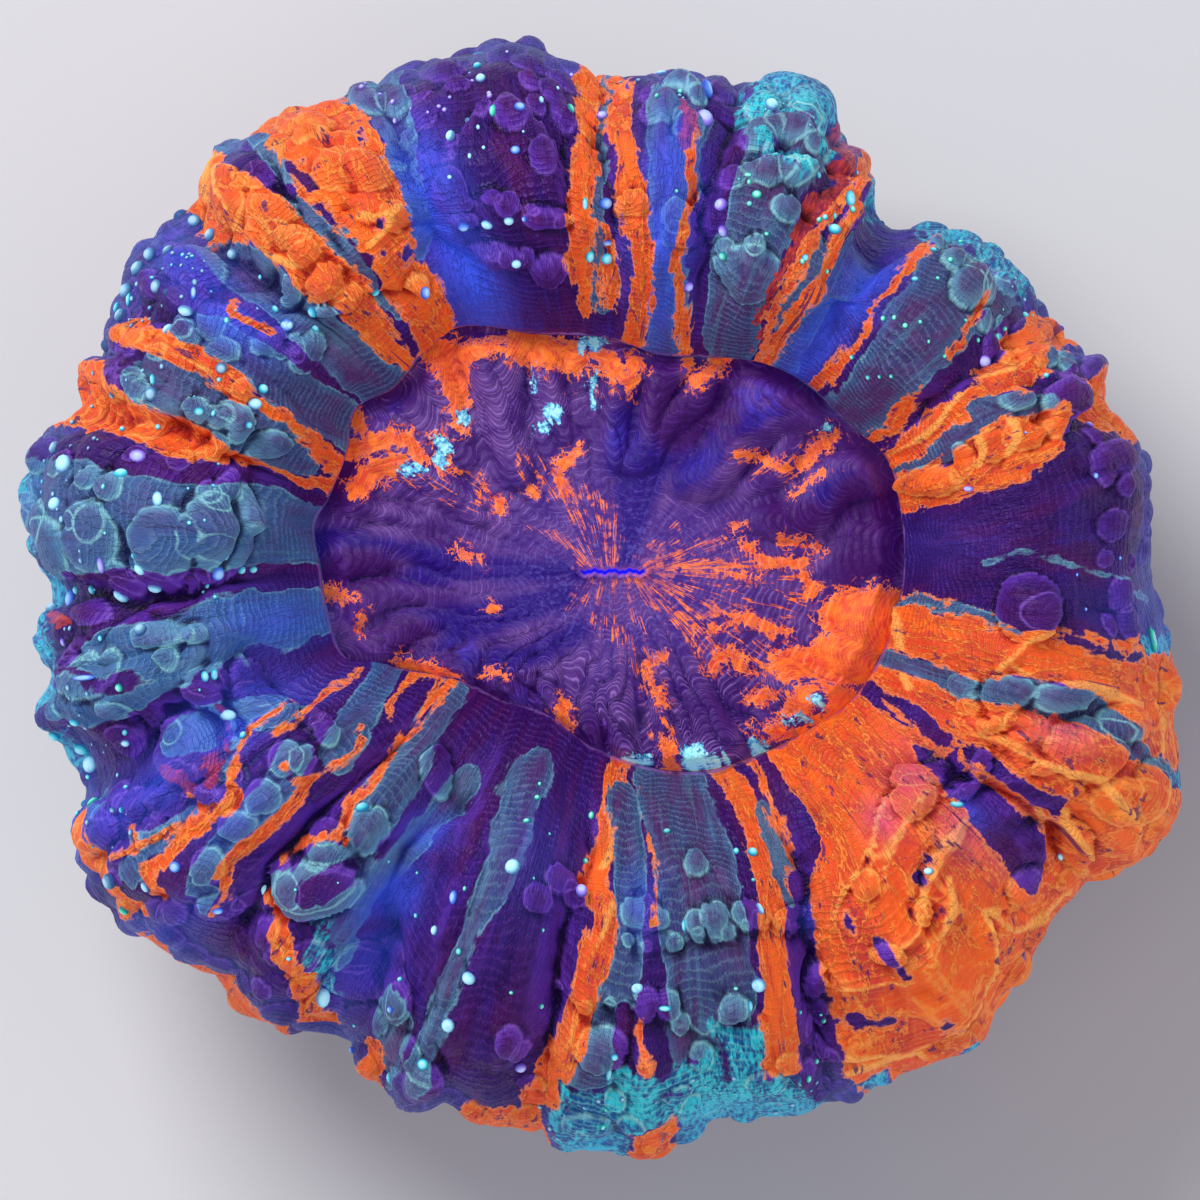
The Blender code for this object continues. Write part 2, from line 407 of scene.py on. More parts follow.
for start, tip, half_width, rise in FOLDS:
    length = math.dist(start, tip)
    along_x, along_y = (tip[0] - start[0]) / length, (tip[1] - start[1]) / length
    bend = 0.5 * np.sin(disc_x * 0.7 + disc_y * 0.5 + start[0]) + 0.3 * wobble
    on_way = (disc_x - start[0]) * along_x + (disc_y - start[1]) * along_y
    across = (disc_y - start[1]) * along_x - (disc_x - start[0]) * along_y + bend
    width = 1.2 * half_width * (1.0 - 0.3 * np.clip(on_way / length, 0, 1))
    past_tip = np.maximum(on_way - length + width, 0)
    before = np.maximum(-on_way - 1.0, 0)
    gap = np.hypot(across, np.maximum(past_tip, before * 0.6)) / width
    dome = 1.75 * rise * np.clip(1 - gap**2, 0, 1) ** 0.75 * (0.5 + 0.5 * np.clip(1 - on_way / length, 0, 1))
    folds = np.where(on_top, np.maximum(folds, dome), folds)
growth = growth + 3.4 * folds * scallop
row_swell = row_swell * (1 - 0.35 * ramp(folds, 0.2, 1.0))

terrace = np.mod(growth / 2.0, 1.0)
plate = (1 - terrace) * ramp(terrace, 0.0, 0.18) * np.interp(distance, [0, 3, 8, 20], [0.0, 0.06, 0.30, 0.45])
plate = plate * (0.45 + 0.55 * rowed)
slit_gap = np.hypot(np.maximum(np.abs(disc_x - MOUTH[0]) - SLIT_HALF_LENGTH, 0),
                    disc_y - MOUTH[1] - 0.07 * np.sin(5.3 * disc_x) - 0.04 * np.sin(13.7 * disc_x + 1))
pit = 1.2 * np.exp(-(slit_gap / 0.16) ** 2) + 0.9 * np.exp(-(distance / 4.5) ** 2)
slit_lips = 0.18 * np.exp(-((slit_gap - 0.36) / 0.2) ** 2)
height = DISC_HEIGHT - pit + slit_lips + 0.4 * out + 0.9 * ramp(out, 0.6, 1.0) \
    + folds + row_swell + plate + 0.6 * wobble * out
tuck = ramp(out, 0.84, 0.945)       # the edge dives under the lip of the mantle
height = np.where(on_top, height * (1 - tuck) + EDGE_HEIGHT * tuck,
                  BACK_HEIGHT - 1.5 * ramp(under, 0.0, 0.3))
disc_places = np.stack([disc_x, disc_y, height], axis=2)


def blurred(field, times):
    """The field smoothed over its neighbours on a rolled grid."""
    for _ in range(times):
        ring = np.concatenate([field[:, -2:-1], field, field[:, 1:2]], axis=1)
        field = (ring[:, :-2] + ring[:, 1:-1] + ring[:, 2:]) / 3
        stack = np.concatenate([field[:1], field, field[-1:]], axis=0)
        field = (stack[:-2] + stack[1:-1] + stack[2:]) / 3
    return field


# How far each place lies below its smoothed surroundings, near and over a wide reach: the shading below
# paints highlight on raised places and shade in hollows and the basin from these.
top_height = np.where(on_top, height, height[DISC_ROWS])
disc_cavity = 0.9 * (blurred(top_height, 2) - top_height) + 0.7 * (blurred(top_height, 10) - top_height)
disc_basin = blurred(top_height, 40) - top_height

# Colour on the disc.  Strokes are plan places with the half width at each end.
disc_paint = Paint(disc_plan, ("orange", "deep", "plum", "veins", "cyan"))
for points, start, end in [
    ([(-2, 1.9), (-6, 2.0), (-10, 2.2), (-14, 2.6), (-18.6, 3.2)], 0.5, 1.7),
    ([(1.2, 3.0), (1.4, 5), (1.9, 7.4), (2.6, 9.6), (3.2, 12)], 0.7, 2.2),
    ([(-3, 0.2), (-8, -1.2), (-13, -2.2)], 0.8, 1.5), ([(-2, -2), (-5, -3.6), (-9, -4.2)], 0.7, 0.8),
    ([(6.6, 9.8), (5, 8)], 1.2, 0.9), ([(0.9, 12), (0.6, 9)], 0.8, 0.9),
    ([(8.6, 12.2), (11, 13.6)], 1.1, 1.3), ([(15.4, 7.6), (13, 6.4)], 0.9, 0.6),
]:
    disc_paint.stroke("deep", points, start, end)
for x, y, half_x, half_y in [
    (17.2, 4.6, 2.8, 4.4), (4.6, 13.2, 2.8, 3.6), (12.6, 14.4, 3.6, 2.2), (-17, 7.6, 2.4, 1.6),
    (-16.6, 2.0, 3.4, 1.6), (7.6, 13.6, 2, 2.4), (-13.5, -2.4, 2.4, 1.6), (-7, -5.8, 3.4, 1.2),
    (-1.6, -8.8, 2.6, 1.3), (12.4, 5.6, 2.6, 1.4),
]:
    disc_paint.oval("plum", x, y, half_x, half_y)
for points, start, end in [
    ([(-11.6, 16.6), (-9.6, 16.2), (-7.4, 17.0)], 1.0, 0.5),
    ([(-10.4, 16), (-10, 13.4), (-9.8, 11.4)], 1.2, 0.4),
    ([(-5.6, 16.9), (-3, 16.2), (-0.6, 16.1), (1.3, 14.4)], 1.3, 0.5),
    ([(-11.3, 10.6), (-10.8, 8.6)], 0.55, 0.4),
    ([(-17, 10), (-15, 10.6), (-13.4, 10.6), (-12.2, 9.4)], 0.7, 0.4),
    ([(-16.6, 7.4), (-15.4, 8.6), (-13.6, 9)], 0.8, 0.7), ([(-16.8, 12.2), (-16.2, 11.2)], 0.5, 0.4),
    ([(-2, 3.4), (-3.4, 4.2), (-5.2, 4.8)], 0.3, 0.12), ([(-2.4, 5.6), (-1.2, 6.0), (0.1, 6.3)], 0.25, 0.2),
    ([(-1.9, 2.5), (-1.8, 3.8), (-1.4, 5.6)], 0.3, 0.16),
    ([(-1.1, 2.4), (-1.0, 4.2), (-0.6, 5.4)], 0.22, 0.14),
    ([(-0.3, 2.3), (-0.2, 3.8), (0.1, 5.8)], 0.22, 0.14), ([(0.3, 2.3), (0.5, 4.2), (0.3, 6.4)], 0.2, 0.16),
    ([(2.6, 2.6), (2.8, 3.4), (4.4, 3.9)], 0.2, 0.14), ([(2.6, 2.4), (5, 3.2), (7.6, 4.1)], 0.26, 0.2),
    ([(2.6, 2.1), (5.6, 2.4), (8.6, 2.3)], 0.2, 0.22), ([(2.6, 1.8), (6, 1.7), (9.8, 1.5)], 0.2, 0.3),
    ([(2.6, 1.5), (5.2, 0.4), (8.2, -1.1)], 0.3, 0.2), ([(9.2, 3.5), (10.6, 2.5), (12.6, 2.5)], 0.4, 0.4),
    ([(11.6, 3.9), (13.9, 3.3)], 0.36, 0.2), ([(13, 1.5), (13.6, 0.6)], 0.4, 0.5),
    ([(2.3, 1.4), (2.6, 0.2), (4.8, -1.3), (6.0, -3.3)], 0.36, 0.22),
    ([(4.8, -1.0), (8, -1.0), (11.9, -2.2)], 0.22, 0.3),
    ([(6.8, -2.0), (9.2, -1.2), (10.8, -1.9)], 0.36, 0.3), ([(6.9, -4.4), (8, -3.6), (9.2, -4.7)], 0.55, 0.3),
    ([(1.2, 1.2), (1.6, -0.8), (2.8, -2.2)], 0.14, 0.1), ([(0.4, 1.3), (0.3, -0.6)], 0.12, 0.06),
    ([(-0.4, 1.3), (-0.8, -1.2)], 0.12, 0.06), ([(-1.2, 1.3), (-2.6, -0.6)], 0.14, 0.06),
    ([(3.8, -3.6), (2.5, -4.4), (3.0, -5.6), (3.8, -6.8)], 0.3, 0.26),
    ([(3.8, -9.4), (4.4, -10.8)], 0.35, 0.8),
    ([(8.5, 9.7), (10.1, 9.5), (11.9, 8.7)], 0.22, 0.22), ([(12.8, 9.0), (13.8, 10), (14.8, 10.9)], 0.4, 0.6),
    ([(12.3, 6.9), (14.2, 8.5)], 0.16, 0.2), ([(1.8, 15.6), (1.4, 13.9)], 0.7, 0.3),
    ([(5.2, 16), (5.5, 14.3)], 0.3, 0.25), ([(7.4, 16), (6, 14.4)], 0.6, 0.3),
    ([(-9.9, 3.4), (-8.3, 2.4)], 0.3, 0.15),
    ([(-18.8, 0.6), (-16.8, 0)], 0.5, 0.25), ([(-16.3, -1.0), (-16.5, -2)], 0.25, 0.15),
    ([(-13.6, -4.2), (-10.6, -5.2)], 0.5, 0.6), ([(-3.1, -7.0), (-2.8, -8.4)], 0.55, 0.3),
    ([(-8.2, -4.5), (-7, -4.9)], 0.2, 0.12), ([(-1.9, 10.4), (-3.2, 8.4), (-2.6, 7.0)], 0.16, 0.6),
]:
    disc_paint.stroke("orange", points, start, end)
for x, y, half_x, half_y in [
    (17.4, -1.2, 3.4, 2.1), (18.6, -3.6, 2.6, 2.2), (15.6, -4.0, 2.8, 1.8), (12.4, -4.2, 1.7, 1.2),
    (14.2, -7.0, 2.7, 1.6), (11.6, -8.6, 1.6, 0.7), (10.2, -6.4, 1.0, 0.6), (-7.2, 6.4, 0.4, 0.6),
    (-8.1, 7.4, 0.3, 0.4), (-4.9, 7.2, 0.4, 0.4), (6.7, 3.7, 0.6, 0.5), (4.3, 4.8, 0.3, 0.25),
    (8.4, 4.9, 0.25, 0.25), (-7.6, -0.6, 0.3, 0.2),
]:
    disc_paint.oval("orange", x, y, half_x, half_y)
# Pale cyan flecks at the foot of the folds: plan place, spread in mm, and how many beads
# stand on each.
FLECKS = [
    (-10.9, 9.8, 0.3, 0.7, 2), (-13.2, 8.5, 0.6, 0.3, 2), (-9.6, 12, 0.2, 0.4, 1), (-1.1, 17, 0.6, 0.3, 2),
    (-0.9, 14.5, 0.25, 0.6, 2), (-4.9, 14.1, 0.15, 0.5, 1), (-3.6, 12.4, 0.5, 0.3, 1),
    (-4.4, 11.4, 0.4, 0.3, 1), (-0.9, 13, 0.2, 0.3, 0), (1.6, -10.8, 1.2, 0.3, 3), (5.6, -10.6, 0.7, 0.6, 4),
    (7.2, -10.7, 0.5, 0.4, 2), (10, -10.1, 0.3, 0.6, 2), (14, -6.8, 0.3, 0.5, 1), (12.5, -8, 0.6, 0.3, 1),
    (14.6, 11.3, 0.3, 0.2, 0),
]
for x, y, spread_x, spread_y, _ in FLECKS:
    disc_paint.oval("cyan", x, y, 1.4 * spread_x + 0.08, 1.4 * spread_y + 0.08)
for points, start, end in [
    ([(3, 2), (7, 1.4), (12, 1.0)], 1.6, 2.6), ([(3, 0.4), (8, -3), (11, -4)], 1.2, 2.6),
    ([(-5, 8.6), (-2, 7), (-1, 5)], 1.6, 1.0), ([(-14, 9), (-9, 7)], 2.2, 1.6),
    ([(-3, 16), (1, 15)], 2.4, 1.8),
    ([(-1.5, 0), (2, -4), (4, -9)], 1.0, 1.4), ([(14, 9), (10, 9)], 1.4, 1.0),
]:
    gap, along, _ = disc_plan.near(points, 5.0)
    field = disc_paint.fields["veins"]
    np.maximum(field, start + (end - start) * along - gap, out=field)

# Patches of painted violet-blue glow on the disc: plan place and reach in mm.
glow_mm = np.full_like(distance, -Paint.LIMIT)
for x, y, reach_mm in [
    (9.8, 13, 2.2), (6, 9, 1.8), (0.8, 10.5, 1.6), (-9.6, -3.2, 1.6), (-5.4, -6.4, 1.6), (-14.4, 12.6, 1.4),
]:
    glow_mm = np.maximum(glow_mm, reach_mm * (1 - disc_plan.oval(x, y, reach_mm, reach_mm)))
disc.marks = dict(
    disc_paint.fields, glow=glow_mm, growth=growth, row=in_row, rowed=rowed, distance=distance,
    flow=flow_vector(bearing, distance, 10.0), cavity=disc_cavity, basin=disc_basin,
    slit=np.where(on_top, slit_gap, BEYOND))


def srgb(red, green, blue):
    """Colour values as they look on a screen, 0 to 255, made linear."""
    return tuple((v / 255 / 12.92) if v <= 10 else ((v / 255 + 0.055) / 1.055) ** 2.4
                 for v in (red, green, blue)) + (1.0,)


class Tissue:
    """Short forms for the nodes of one material."""

    def __init__(self, name):
        self.material, self.tree, self.shader = new_finish(name)

    def mark(self, name, vector=False):
        node = add_node(self.tree, "ShaderNodeAttribute", {"attribute_name": name})
        return node.outputs["Vector" if vector else "Fac"]

    def maths(self, operation, *values):
        return add_node(self.tree, "ShaderNodeMath", {"operation": operation},
                        dict(enumerate(values))).outputs[0]

    def chain(self, operation, values):
        """One operation carried along a list of values."""
        result, *others = values
        for other in others:
            result = self.maths(operation, result, other)
        return result

    def total(self, *terms):
        """Sum of plain sockets and (weight, socket) pairs."""
        return self.chain("ADD", [self.maths("MULTIPLY", term[1], term[0]) if isinstance(term, tuple)
                                  else term for term in terms])

    def both(self, *masks):
        return self.chain("MULTIPLY", masks)

    def most(self, *values):
        return self.chain("MAXIMUM", values)

    def mask(self, value, low, high):
        """0 where the value is at low, 1 where it is at high."""
        return add_node(self.tree, "ShaderNodeMapRange", {"interpolation_type": "SMOOTHSTEP"},
                        {"Value": value, "From Min": low, "From Max": high}).outputs[0]

    def line(self, value, low, high):
        """A mask on how far a value is from zero."""
        return self.mask(self.maths("ABSOLUTE", value), low, high)

    def between(self, value, middle, half_width):
        """1 where the value is at the middle, 0 half a width away."""
        return self.line(self.maths("SUBTRACT", value, middle), half_width, 0.0)

    def grain(self, vector, size, detail=3.0, roughness=0.55):
        """Noise from about -0.5 to 0.5 on a vector scaled by size."""
        scaled = add_node(self.tree, "ShaderNodeVectorMath", {"operation": "MULTIPLY"},
                          {0: vector, 1: size}).outputs[0]
        noise = add_node(self.tree, "ShaderNodeTexNoise", None,
                         {"Vector": scaled, "Scale": 1.0, "Detail": detail, "Roughness": roughness})
        return self.maths("SUBTRACT", noise.outputs["Fac"], 0.5)

    def blend(self, factor, first, second, mode="MIX", amount=1.0):
        if amount != 1.0:
            factor = self.maths("MULTIPLY", factor, amount)
        return add_node(self.tree, "ShaderNodeMix", {"data_type": "RGBA", "blend_type": mode},
                        {0: factor, 6: first, 7: second}).outputs[2]

    def coats(self, colour, layers):
        """Lays (mask, screen colour, strength) layers over a colour, one after another."""
        for mask, screen_colour, strength in layers:
            colour = self.blend(mask, colour, srgb(*screen_colour), amount=strength)
        return colour

    def shade(self, colour, glow, bump_height, bump_mm, roughness):
        """Wet living tissue whose colour is also given off as a little painted glow, standing for its own
        fluorescence.
        """
        tree, shader = self.tree, self.shader
        tree.links.new(colour, shader.inputs["Base Color"])
        tree.links.new(colour, shader.inputs["Emission Color"])
        shader.inputs["Emission Strength"].default_value = glow
        shader.inputs["Specular IOR Level"].default_value = 0.22
        tree.links.new(roughness, shader.inputs["Roughness"])
        self.bump(bump_height, bump_mm)

    def bump(self, height, distance_mm):
        node = add_node(self.tree, "ShaderNodeBump", None,
                        {"Strength": 1.0, "Distance": distance_mm * MM, "Height": height})
        self.tree.links.new(node.outputs[0], self.shader.inputs["Normal"])


t = Tissue("oral_disc_tissue")
flow = t.mark("flow", vector=True)
places = add_node(t.tree, "ShaderNodeTexCoord").outputs["Object"]
millimetres = add_node(t.tree, "ShaderNodeVectorMath", {"operation": "SCALE"},
                       {0: places, 3: 1000.0}).outputs[0]
coarse = t.grain(millimetres, (0.32, 0.32, 0.32))
medium = t.grain(millimetres, (1.1, 1.1, 1.1), 3.0, 0.55)
fine = t.grain(millimetres, (3.4, 3.4, 3.4), 3.0, 0.6)
rays = t.grain(flow, (1.7, 1.7, 0.3), 3.0, 0.6)
from_mouth = t.mark("distance")
near_mouth = t.mask(from_mouth, 7.5, 4.5)
outer = t.mask(from_mouth, 5.0, 11.0)
rowed_mask = t.mark("rowed")
valley = t.both(t.line(t.mark("row"), 0.34, 0.48), t.mask(from_mouth, 3.0, 8.0), rowed_mask)
phase = t.maths("FRACT", t.total(t.mark("growth"), (0.35, fine), (0.4, medium)))
line = t.both(t.mask(phase, 0.0, 0.06), t.mask(phase, 0.34, 0.08))
arc = t.both(line, t.mask(valley, 0.9, 0.0), t.mask(t.total(medium, (0.9, coarse)), -0.16, 0.16),
             t.maths("MULTIPLY_ADD", rowed_mask, 0.6, 0.4))
ripple_phase = t.maths("FRACT", t.total((2.3, t.mark("growth")), (1.6, fine), (1.2, rays)))
ripple = t.both(t.mask(ripple_phase, 0.0, 0.4), t.mask(ripple_phase, 0.9, 0.5), t.mask(from_mouth, 11.0, 6.0))
body = t.blend(t.mask(t.total(coarse, (0.6, rays)), -0.12, 0.14), srgb(72, 38, 128), srgb(98, 60, 138))
body = t.blend(t.both(outer, t.mask(coarse, 0.12, -0.10)), body, srgb(66, 24, 106), amount=0.8)
plum_mask = t.mask(t.total(t.mark("plum"), (2.0, medium), (1.0, rays)), -0.5, 0.7)
body = t.blend(plum_mask, body, srgb(60, 10, 92), amount=0.95)
deep_mask = t.mask(t.total(t.mark("deep"), (1.0, medium), (0.8, rays)), -0.6, 0.5)
body = t.coats(body, [
    (deep_mask, (34, 10, 116), 0.95),
    (ripple, (40, 20, 112), 0.38),
])
# Painted violet-blue glow on those patches, kept out of the hollows.
glow = t.mask(t.total(t.mark("glow"), (1.6, medium), (0.8, rays)), 0.0, 1.8)
body = t.blend(t.both(glow, t.mask(t.mark("cavity"), 0.2, -0.4)), body, srgb(66, 62, 222), amount=0.62)
# Painted highlight on raised places.
raised_highlight = t.mask(t.mark("cavity"), -0.05, -0.6)
body = t.blend(raised_highlight, body, srgb(122, 76, 176), amount=0.35)
line_colour = t.blend(t.most(deep_mask, plum_mask), srgb(170, 128, 206), srgb(112, 66, 196))
body = t.blend(arc, body, line_colour, amount=0.6)
# Painted shadow on the outer side of each scallop arc.
arc_shadow = t.both(t.mask(phase, 0.26, 0.38), t.mask(phase, 0.85, 0.42), outer, rowed_mask)
body = t.blend(arc_shadow, body, srgb(32, 6, 76), amount=0.62)
weave = t.both(t.mask(from_mouth, 7.0, 2.0), t.mask(t.total(fine, (0.4, rays)), 0.02, 0.14))
body = t.blend(weave, body, srgb(106, 100, 196), amount=0.35)
# Painted shade in hollows, over the broad basin and in the valleys between the rows.
hollow_shade = t.most(t.mask(t.mark("cavity"), 0.05, 0.7), t.mask(t.mark("basin"), 0.2, 1.8))
body = t.coats(body, [
    (hollow_shade, (26, 6, 76), 0.85),
    (valley, (24, 6, 70), 0.7),
])
vein = t.both(t.line(t.grain(flow, (1.35, 1.35, 0.17), 3.0, 0.6), 0.034, 0.014),
              t.mask(t.total(t.mark("veins"), (3.0, medium)), 0.1, 1.0),
              t.mask(t.total(fine, (1.6, medium)), -0.10, 0.06))
orange_field = t.total(t.mark("orange"), (0.8, fine), (1.5, medium), (0.12, line))
patch = t.both(t.mask(orange_field, -0.02, 0.05), t.mask(near_mouth, 1.0, 0.3))
thread = t.both(t.line(t.grain(flow, (2.3, 2.3, 0.2), 3.0, 0.6), 0.036, 0.016),
                t.mask(t.total(t.mark("orange"), (1.6, medium), (0.8, fine)), -0.2, 0.1),
                t.mask(near_mouth, 0.1, 0.6))
lace_net = t.grain(flow, (1.2, 1.2, 0.8), 3.0, 0.6)
lace = t.both(t.line(lace_net, 0.026, 0.012), t.mask(t.total(t.mark("orange"), (2.0, medium)), -0.6, -0.1),
              t.mask(near_mouth, 0.5, 0.0))
holes = t.both(t.line(lace_net, 0.045, 0.02), t.mask(t.mark("orange"), 0.5, 0.1), t.mask(coarse, 0.1, -0.05))
patch = t.both(patch, t.maths("SUBTRACT", 1.0, holes))
orange_mask = t.most(t.most(patch, thread), t.most(vein, lace))
ember = t.blend(t.mask(medium, -0.15, 0.15), srgb(222, 76, 48), srgb(255, 124, 44))
ember = t.coats(ember, [
    (t.mask(t.total(fine, coarse), -0.1, 0.15), (200, 60, 66), 0.35),
    (line, (255, 160, 70), 0.4),
    # Painted shadow under the arcs and painted shade in hollows.
    (arc_shadow, (176, 40, 50), 0.3),
    (hollow_shade, (130, 26, 60), 0.65),
    (t.between(orange_field, 0.1, 0.12), (255, 140, 96), 0.6),
])
body = t.blend(orange_mask, body, ember)
cyan_field = t.total(t.mark("cyan"), (1.0, fine), (0.9, medium), (2.4, rays))
cyan = t.blend(t.mask(t.total(fine, cyan_field), 0.0, 0.5), srgb(50, 148, 206), srgb(166, 238, 244))
body = t.blend(t.mask(cyan_field, 0.0, 0.10), body, cyan)
slit_field = t.total(t.mark("slit"), (0.12, fine))
body = t.coats(body, [
    (t.mask(slit_field, 0.42, 0.12), (196, 120, 235), 0.45),
    (t.mask(slit_field, 0.15, 0.07), (40, 40, 250), 1.0),
])
rough = t.maths("MULTIPLY_ADD", fine, 0.3, 0.5)
t.shade(body, 0.38, t.total(phase, (-1.2, fine)), -0.10, rough)
oral_disc = disc.finish(disc_places, t.material)
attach(oral_disc, "root")
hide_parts("polyp")

# ---------------------------------------------------------------------------------------
# Mantle
# The puffed ring of flesh round the disc: one skin that rolls up from a thin lip, over a
# rounded crest and down to a lobed rim.  Colour runs outwards in bands that follow the
# septa below; creases part the lobes, and water-filled blisters stand along them.
# ---------------------------------------------------------------------------------------
CREST_HEIGHT = polyp_top - 2.4       # before its relief is raised on it
RIM_HEIGHT = 19.5
SKIN_LENGTH = 36.0                   # from the lip over the crest to the underside

# Lobes and notches of the widest line: bearing, and distance from the mouth.
OUTLINE = [
    (0, 36.3), (5, 36.4), (10, 36.6), (15.5, 35.7), (18.5, 35.1), (22, 35.5), (26, 34.6), (31, 34.1),
    (36, 33.8), (42, 33.2), (46, 32.8), (49, 31.7), (52, 30.6), (55, 32.0), (60, 32.6), (66, 34.6),
    (70, 34.7), (76, 34.1), (80, 34.1), (90, 33.7), (94, 34.2), (99, 35.8), (105, 36.1), (111, 36.6),
    (116, 37.1), (120, 36.8), (126, 37.2), (132, 38.2), (136, 37.8), (140, 37.3), (147, 38.1), (152, 37.6),
    (157, 37.4), (160, 38.2), (163, 37.6), (167, 39.2), (174, 39.0), (179, 38.6), (182, 37.7), (186, 38.8),
    (190.5, 38.0), (194, 39.8), (198, 38.6), (202, 39.0), (205, 40.2), (208, 41.0), (212, 41.0),
    (216, 40.0), (220, 39.4), (225, 39.0), (230, 38.8), (235, 38.1), (238, 37.2), (244, 38.0),
    (249.5, 38.9), (252.5, 37.7), (256, 38.3), (260, 38.1), (264, 38.5), (269, 38.6), (273, 39.1),
    (276.5, 38.0), (281, 37.0), (286, 38.2), (290.5, 39.6), (294, 39.7), (298, 39.1), (303, 39.4),
    (307, 40.2), (309, 40.1), (312, 39.0), (315, 38.8), (320.5, 38.3), (323, 38.4), (327, 39.7),
    (331, 41.0), (335, 41.3), (338, 41.3), (341, 40.4), (344, 39.1), (350, 38.3), (355, 37.4),
]

# Section of the mantle, from under the lip over the crest to the rim and a little way
# under it: share of the way out, and share of the rise from rim to crest.
SECTION = [
    (-0.02, 0.44), (-0.012, 0.49), (0.0, 0.54), (0.04, 0.66), (0.11, 0.80), (0.20, 0.91),
    (0.31, 0.98), (0.43, 1.0), (0.56, 0.965), (0.69, 0.885), (0.80, 0.77), (0.89, 0.62), (0.955, 0.45),
    (1.0, 0.24), (0.998, 0.06), (0.965, -0.09), (0.90, -0.20), (0.82, -0.25),
]
HIDDEN_SECTION = [(0.82, -0.25), (0.7, -0.05), (0.45, 0.15), (0.2, 0.25), (0.04, 0.34), (-0.02, 0.44)]
MANTLE_WIDTH, MANTLE_RISE = 20, 21      # in mm, about what one unit of share and of rise stands for
ROWS_ALONG = 134
SKIN_ROWS = 127         # rows of the seen skin; the rest close the piece inside

mantle = Skin("mantle", 720, ROWS_ALONG)
bearing = mantle.turns * 360
lip = round_curve(LIP_ROUND, bearing)
rim = round_curve(OUTLINE, bearing)


def section_at(points, t):
    """Share and rise at a fraction of the length of a section curve."""
    shares, rises = (np.array(column) for column in zip(*points))
    steps = np.hypot(np.diff(shares) * MANTLE_WIDTH, np.diff(rises) * MANTLE_RISE)
    lengths = np.concatenate([[0], np.cumsum(steps)])
    lengths /= lengths[-1]
    return open_curve(list(zip(lengths, shares)), t), open_curve(list(zip(lengths, rises)), t)


row = mantle.along * ROWS_ALONG
seen = row <= SKIN_ROWS
top_t = np.clip(row / SKIN_ROWS, 0, 1)
top_share, top_rise = section_at(SECTION, top_t)
back_share, back_rise = section_at(HIDDEN_SECTION,
                                   np.clip((row - SKIN_ROWS) / (ROWS_ALONG - SKIN_ROWS), 0, 1))
section_share = np.where(seen, top_share, back_share)
section_rise = np.where(seen, top_rise, back_rise)
rim_row = np.argmax(top_share[:, 0])
above_rim = np.arange(row.shape[0])[:, None] <= rim_row + 2
share = np.where(above_rim, np.clip(section_share, 0, 1), 2.0 - section_share)
distance = lip + section_share * (rim - lip)
height = RIM_HEIGHT + section_rise * (CREST_HEIGHT - RIM_HEIGHT)
angle = np.radians(bearing)
mantle_places = np.stack([MOUTH[0] + distance * np.cos(angle), MOUTH[1] + distance * np.sin(angle),
                          height], axis=2)
out_mm = top_t * SKIN_LENGTH
mm_per_degree = distance * math.pi / 180
plan = Plan(mantle_places[..., 0], mantle_places[..., 1], seen)


def apart(first, second):
    """Degrees from the second bearing to the first, the short way round."""
    return (first - second + 180) % 360 - 180


# Furrows between the lobes: bearing at the lip and at the rim, depth, half width in mm.
FURROWS = [
    (-4, -6, 0.4, 0.7), (15, 21, 0.6, 0.7), (26, 31, 1.4, 0.9), (48.5, 51.5, 1.9, 1.1), (59, 61, 0.8, 0.7),
    (72, 76.5, 1.7, 0.9), (83, 87, 0.6, 0.6), (91.5, 91, 1.5, 0.8), (117.5, 116, 1.8, 1.1),
    (130, 131, 0.8, 0.6), (140.5, 140, 1.8, 0.9), (151, 150, 0.7, 0.7), (164.5, 163, 1.9, 0.9),
    (181, 183, 1.8, 1.0), (188, 191, 0.6, 0.7), (197, 201, 2.0, 1.6), (205, 209, 1.0, 0.8),
    (214, 226, 1.8, 0.9), (222, 233, 0.7, 0.6), (232, 240, 2.6, 1.5), (246, 247, 0.7, 0.6),
    (256, 256, 0.5, 0.6), (265, 262, 1.6, 0.9), (276, 270, 0.7, 0.6), (292, 286, 0.6, 0.6),
    (307, 292, 2.6, 1.2), (333, 326, 2.2, 1.2), (342, 341, 0.5, 0.6),
]
wander = layered(mantle.turns, mantle.along, 40, 9, 21)
furrow_field = np.zeros_like(distance)
for at_lip, at_rim, depth, half_width in FURROWS:
    centre = at_lip + (at_rim - at_lip) * np.clip(share, 0, 1.2)
    away = np.abs(apart(bearing, centre) * mm_per_degree + wander * 1.1)
    narrow = np.exp(-(away / (1.1 * half_width)) ** 1.2) * (1 - 0.7 * ramp(share, 0.75, 0.97))
    wide = np.exp(-(away / (2.2 + 1.8 * half_width)) ** 2) * (1 - 0.5 * ramp(share, 0.8, 1.0))
    furrow_field = np.maximum(furrow_field, depth * (0.9 * narrow + 0.75 * wide))
furrow_field = furrow_field * ramp(share, 0.0, 0.2)

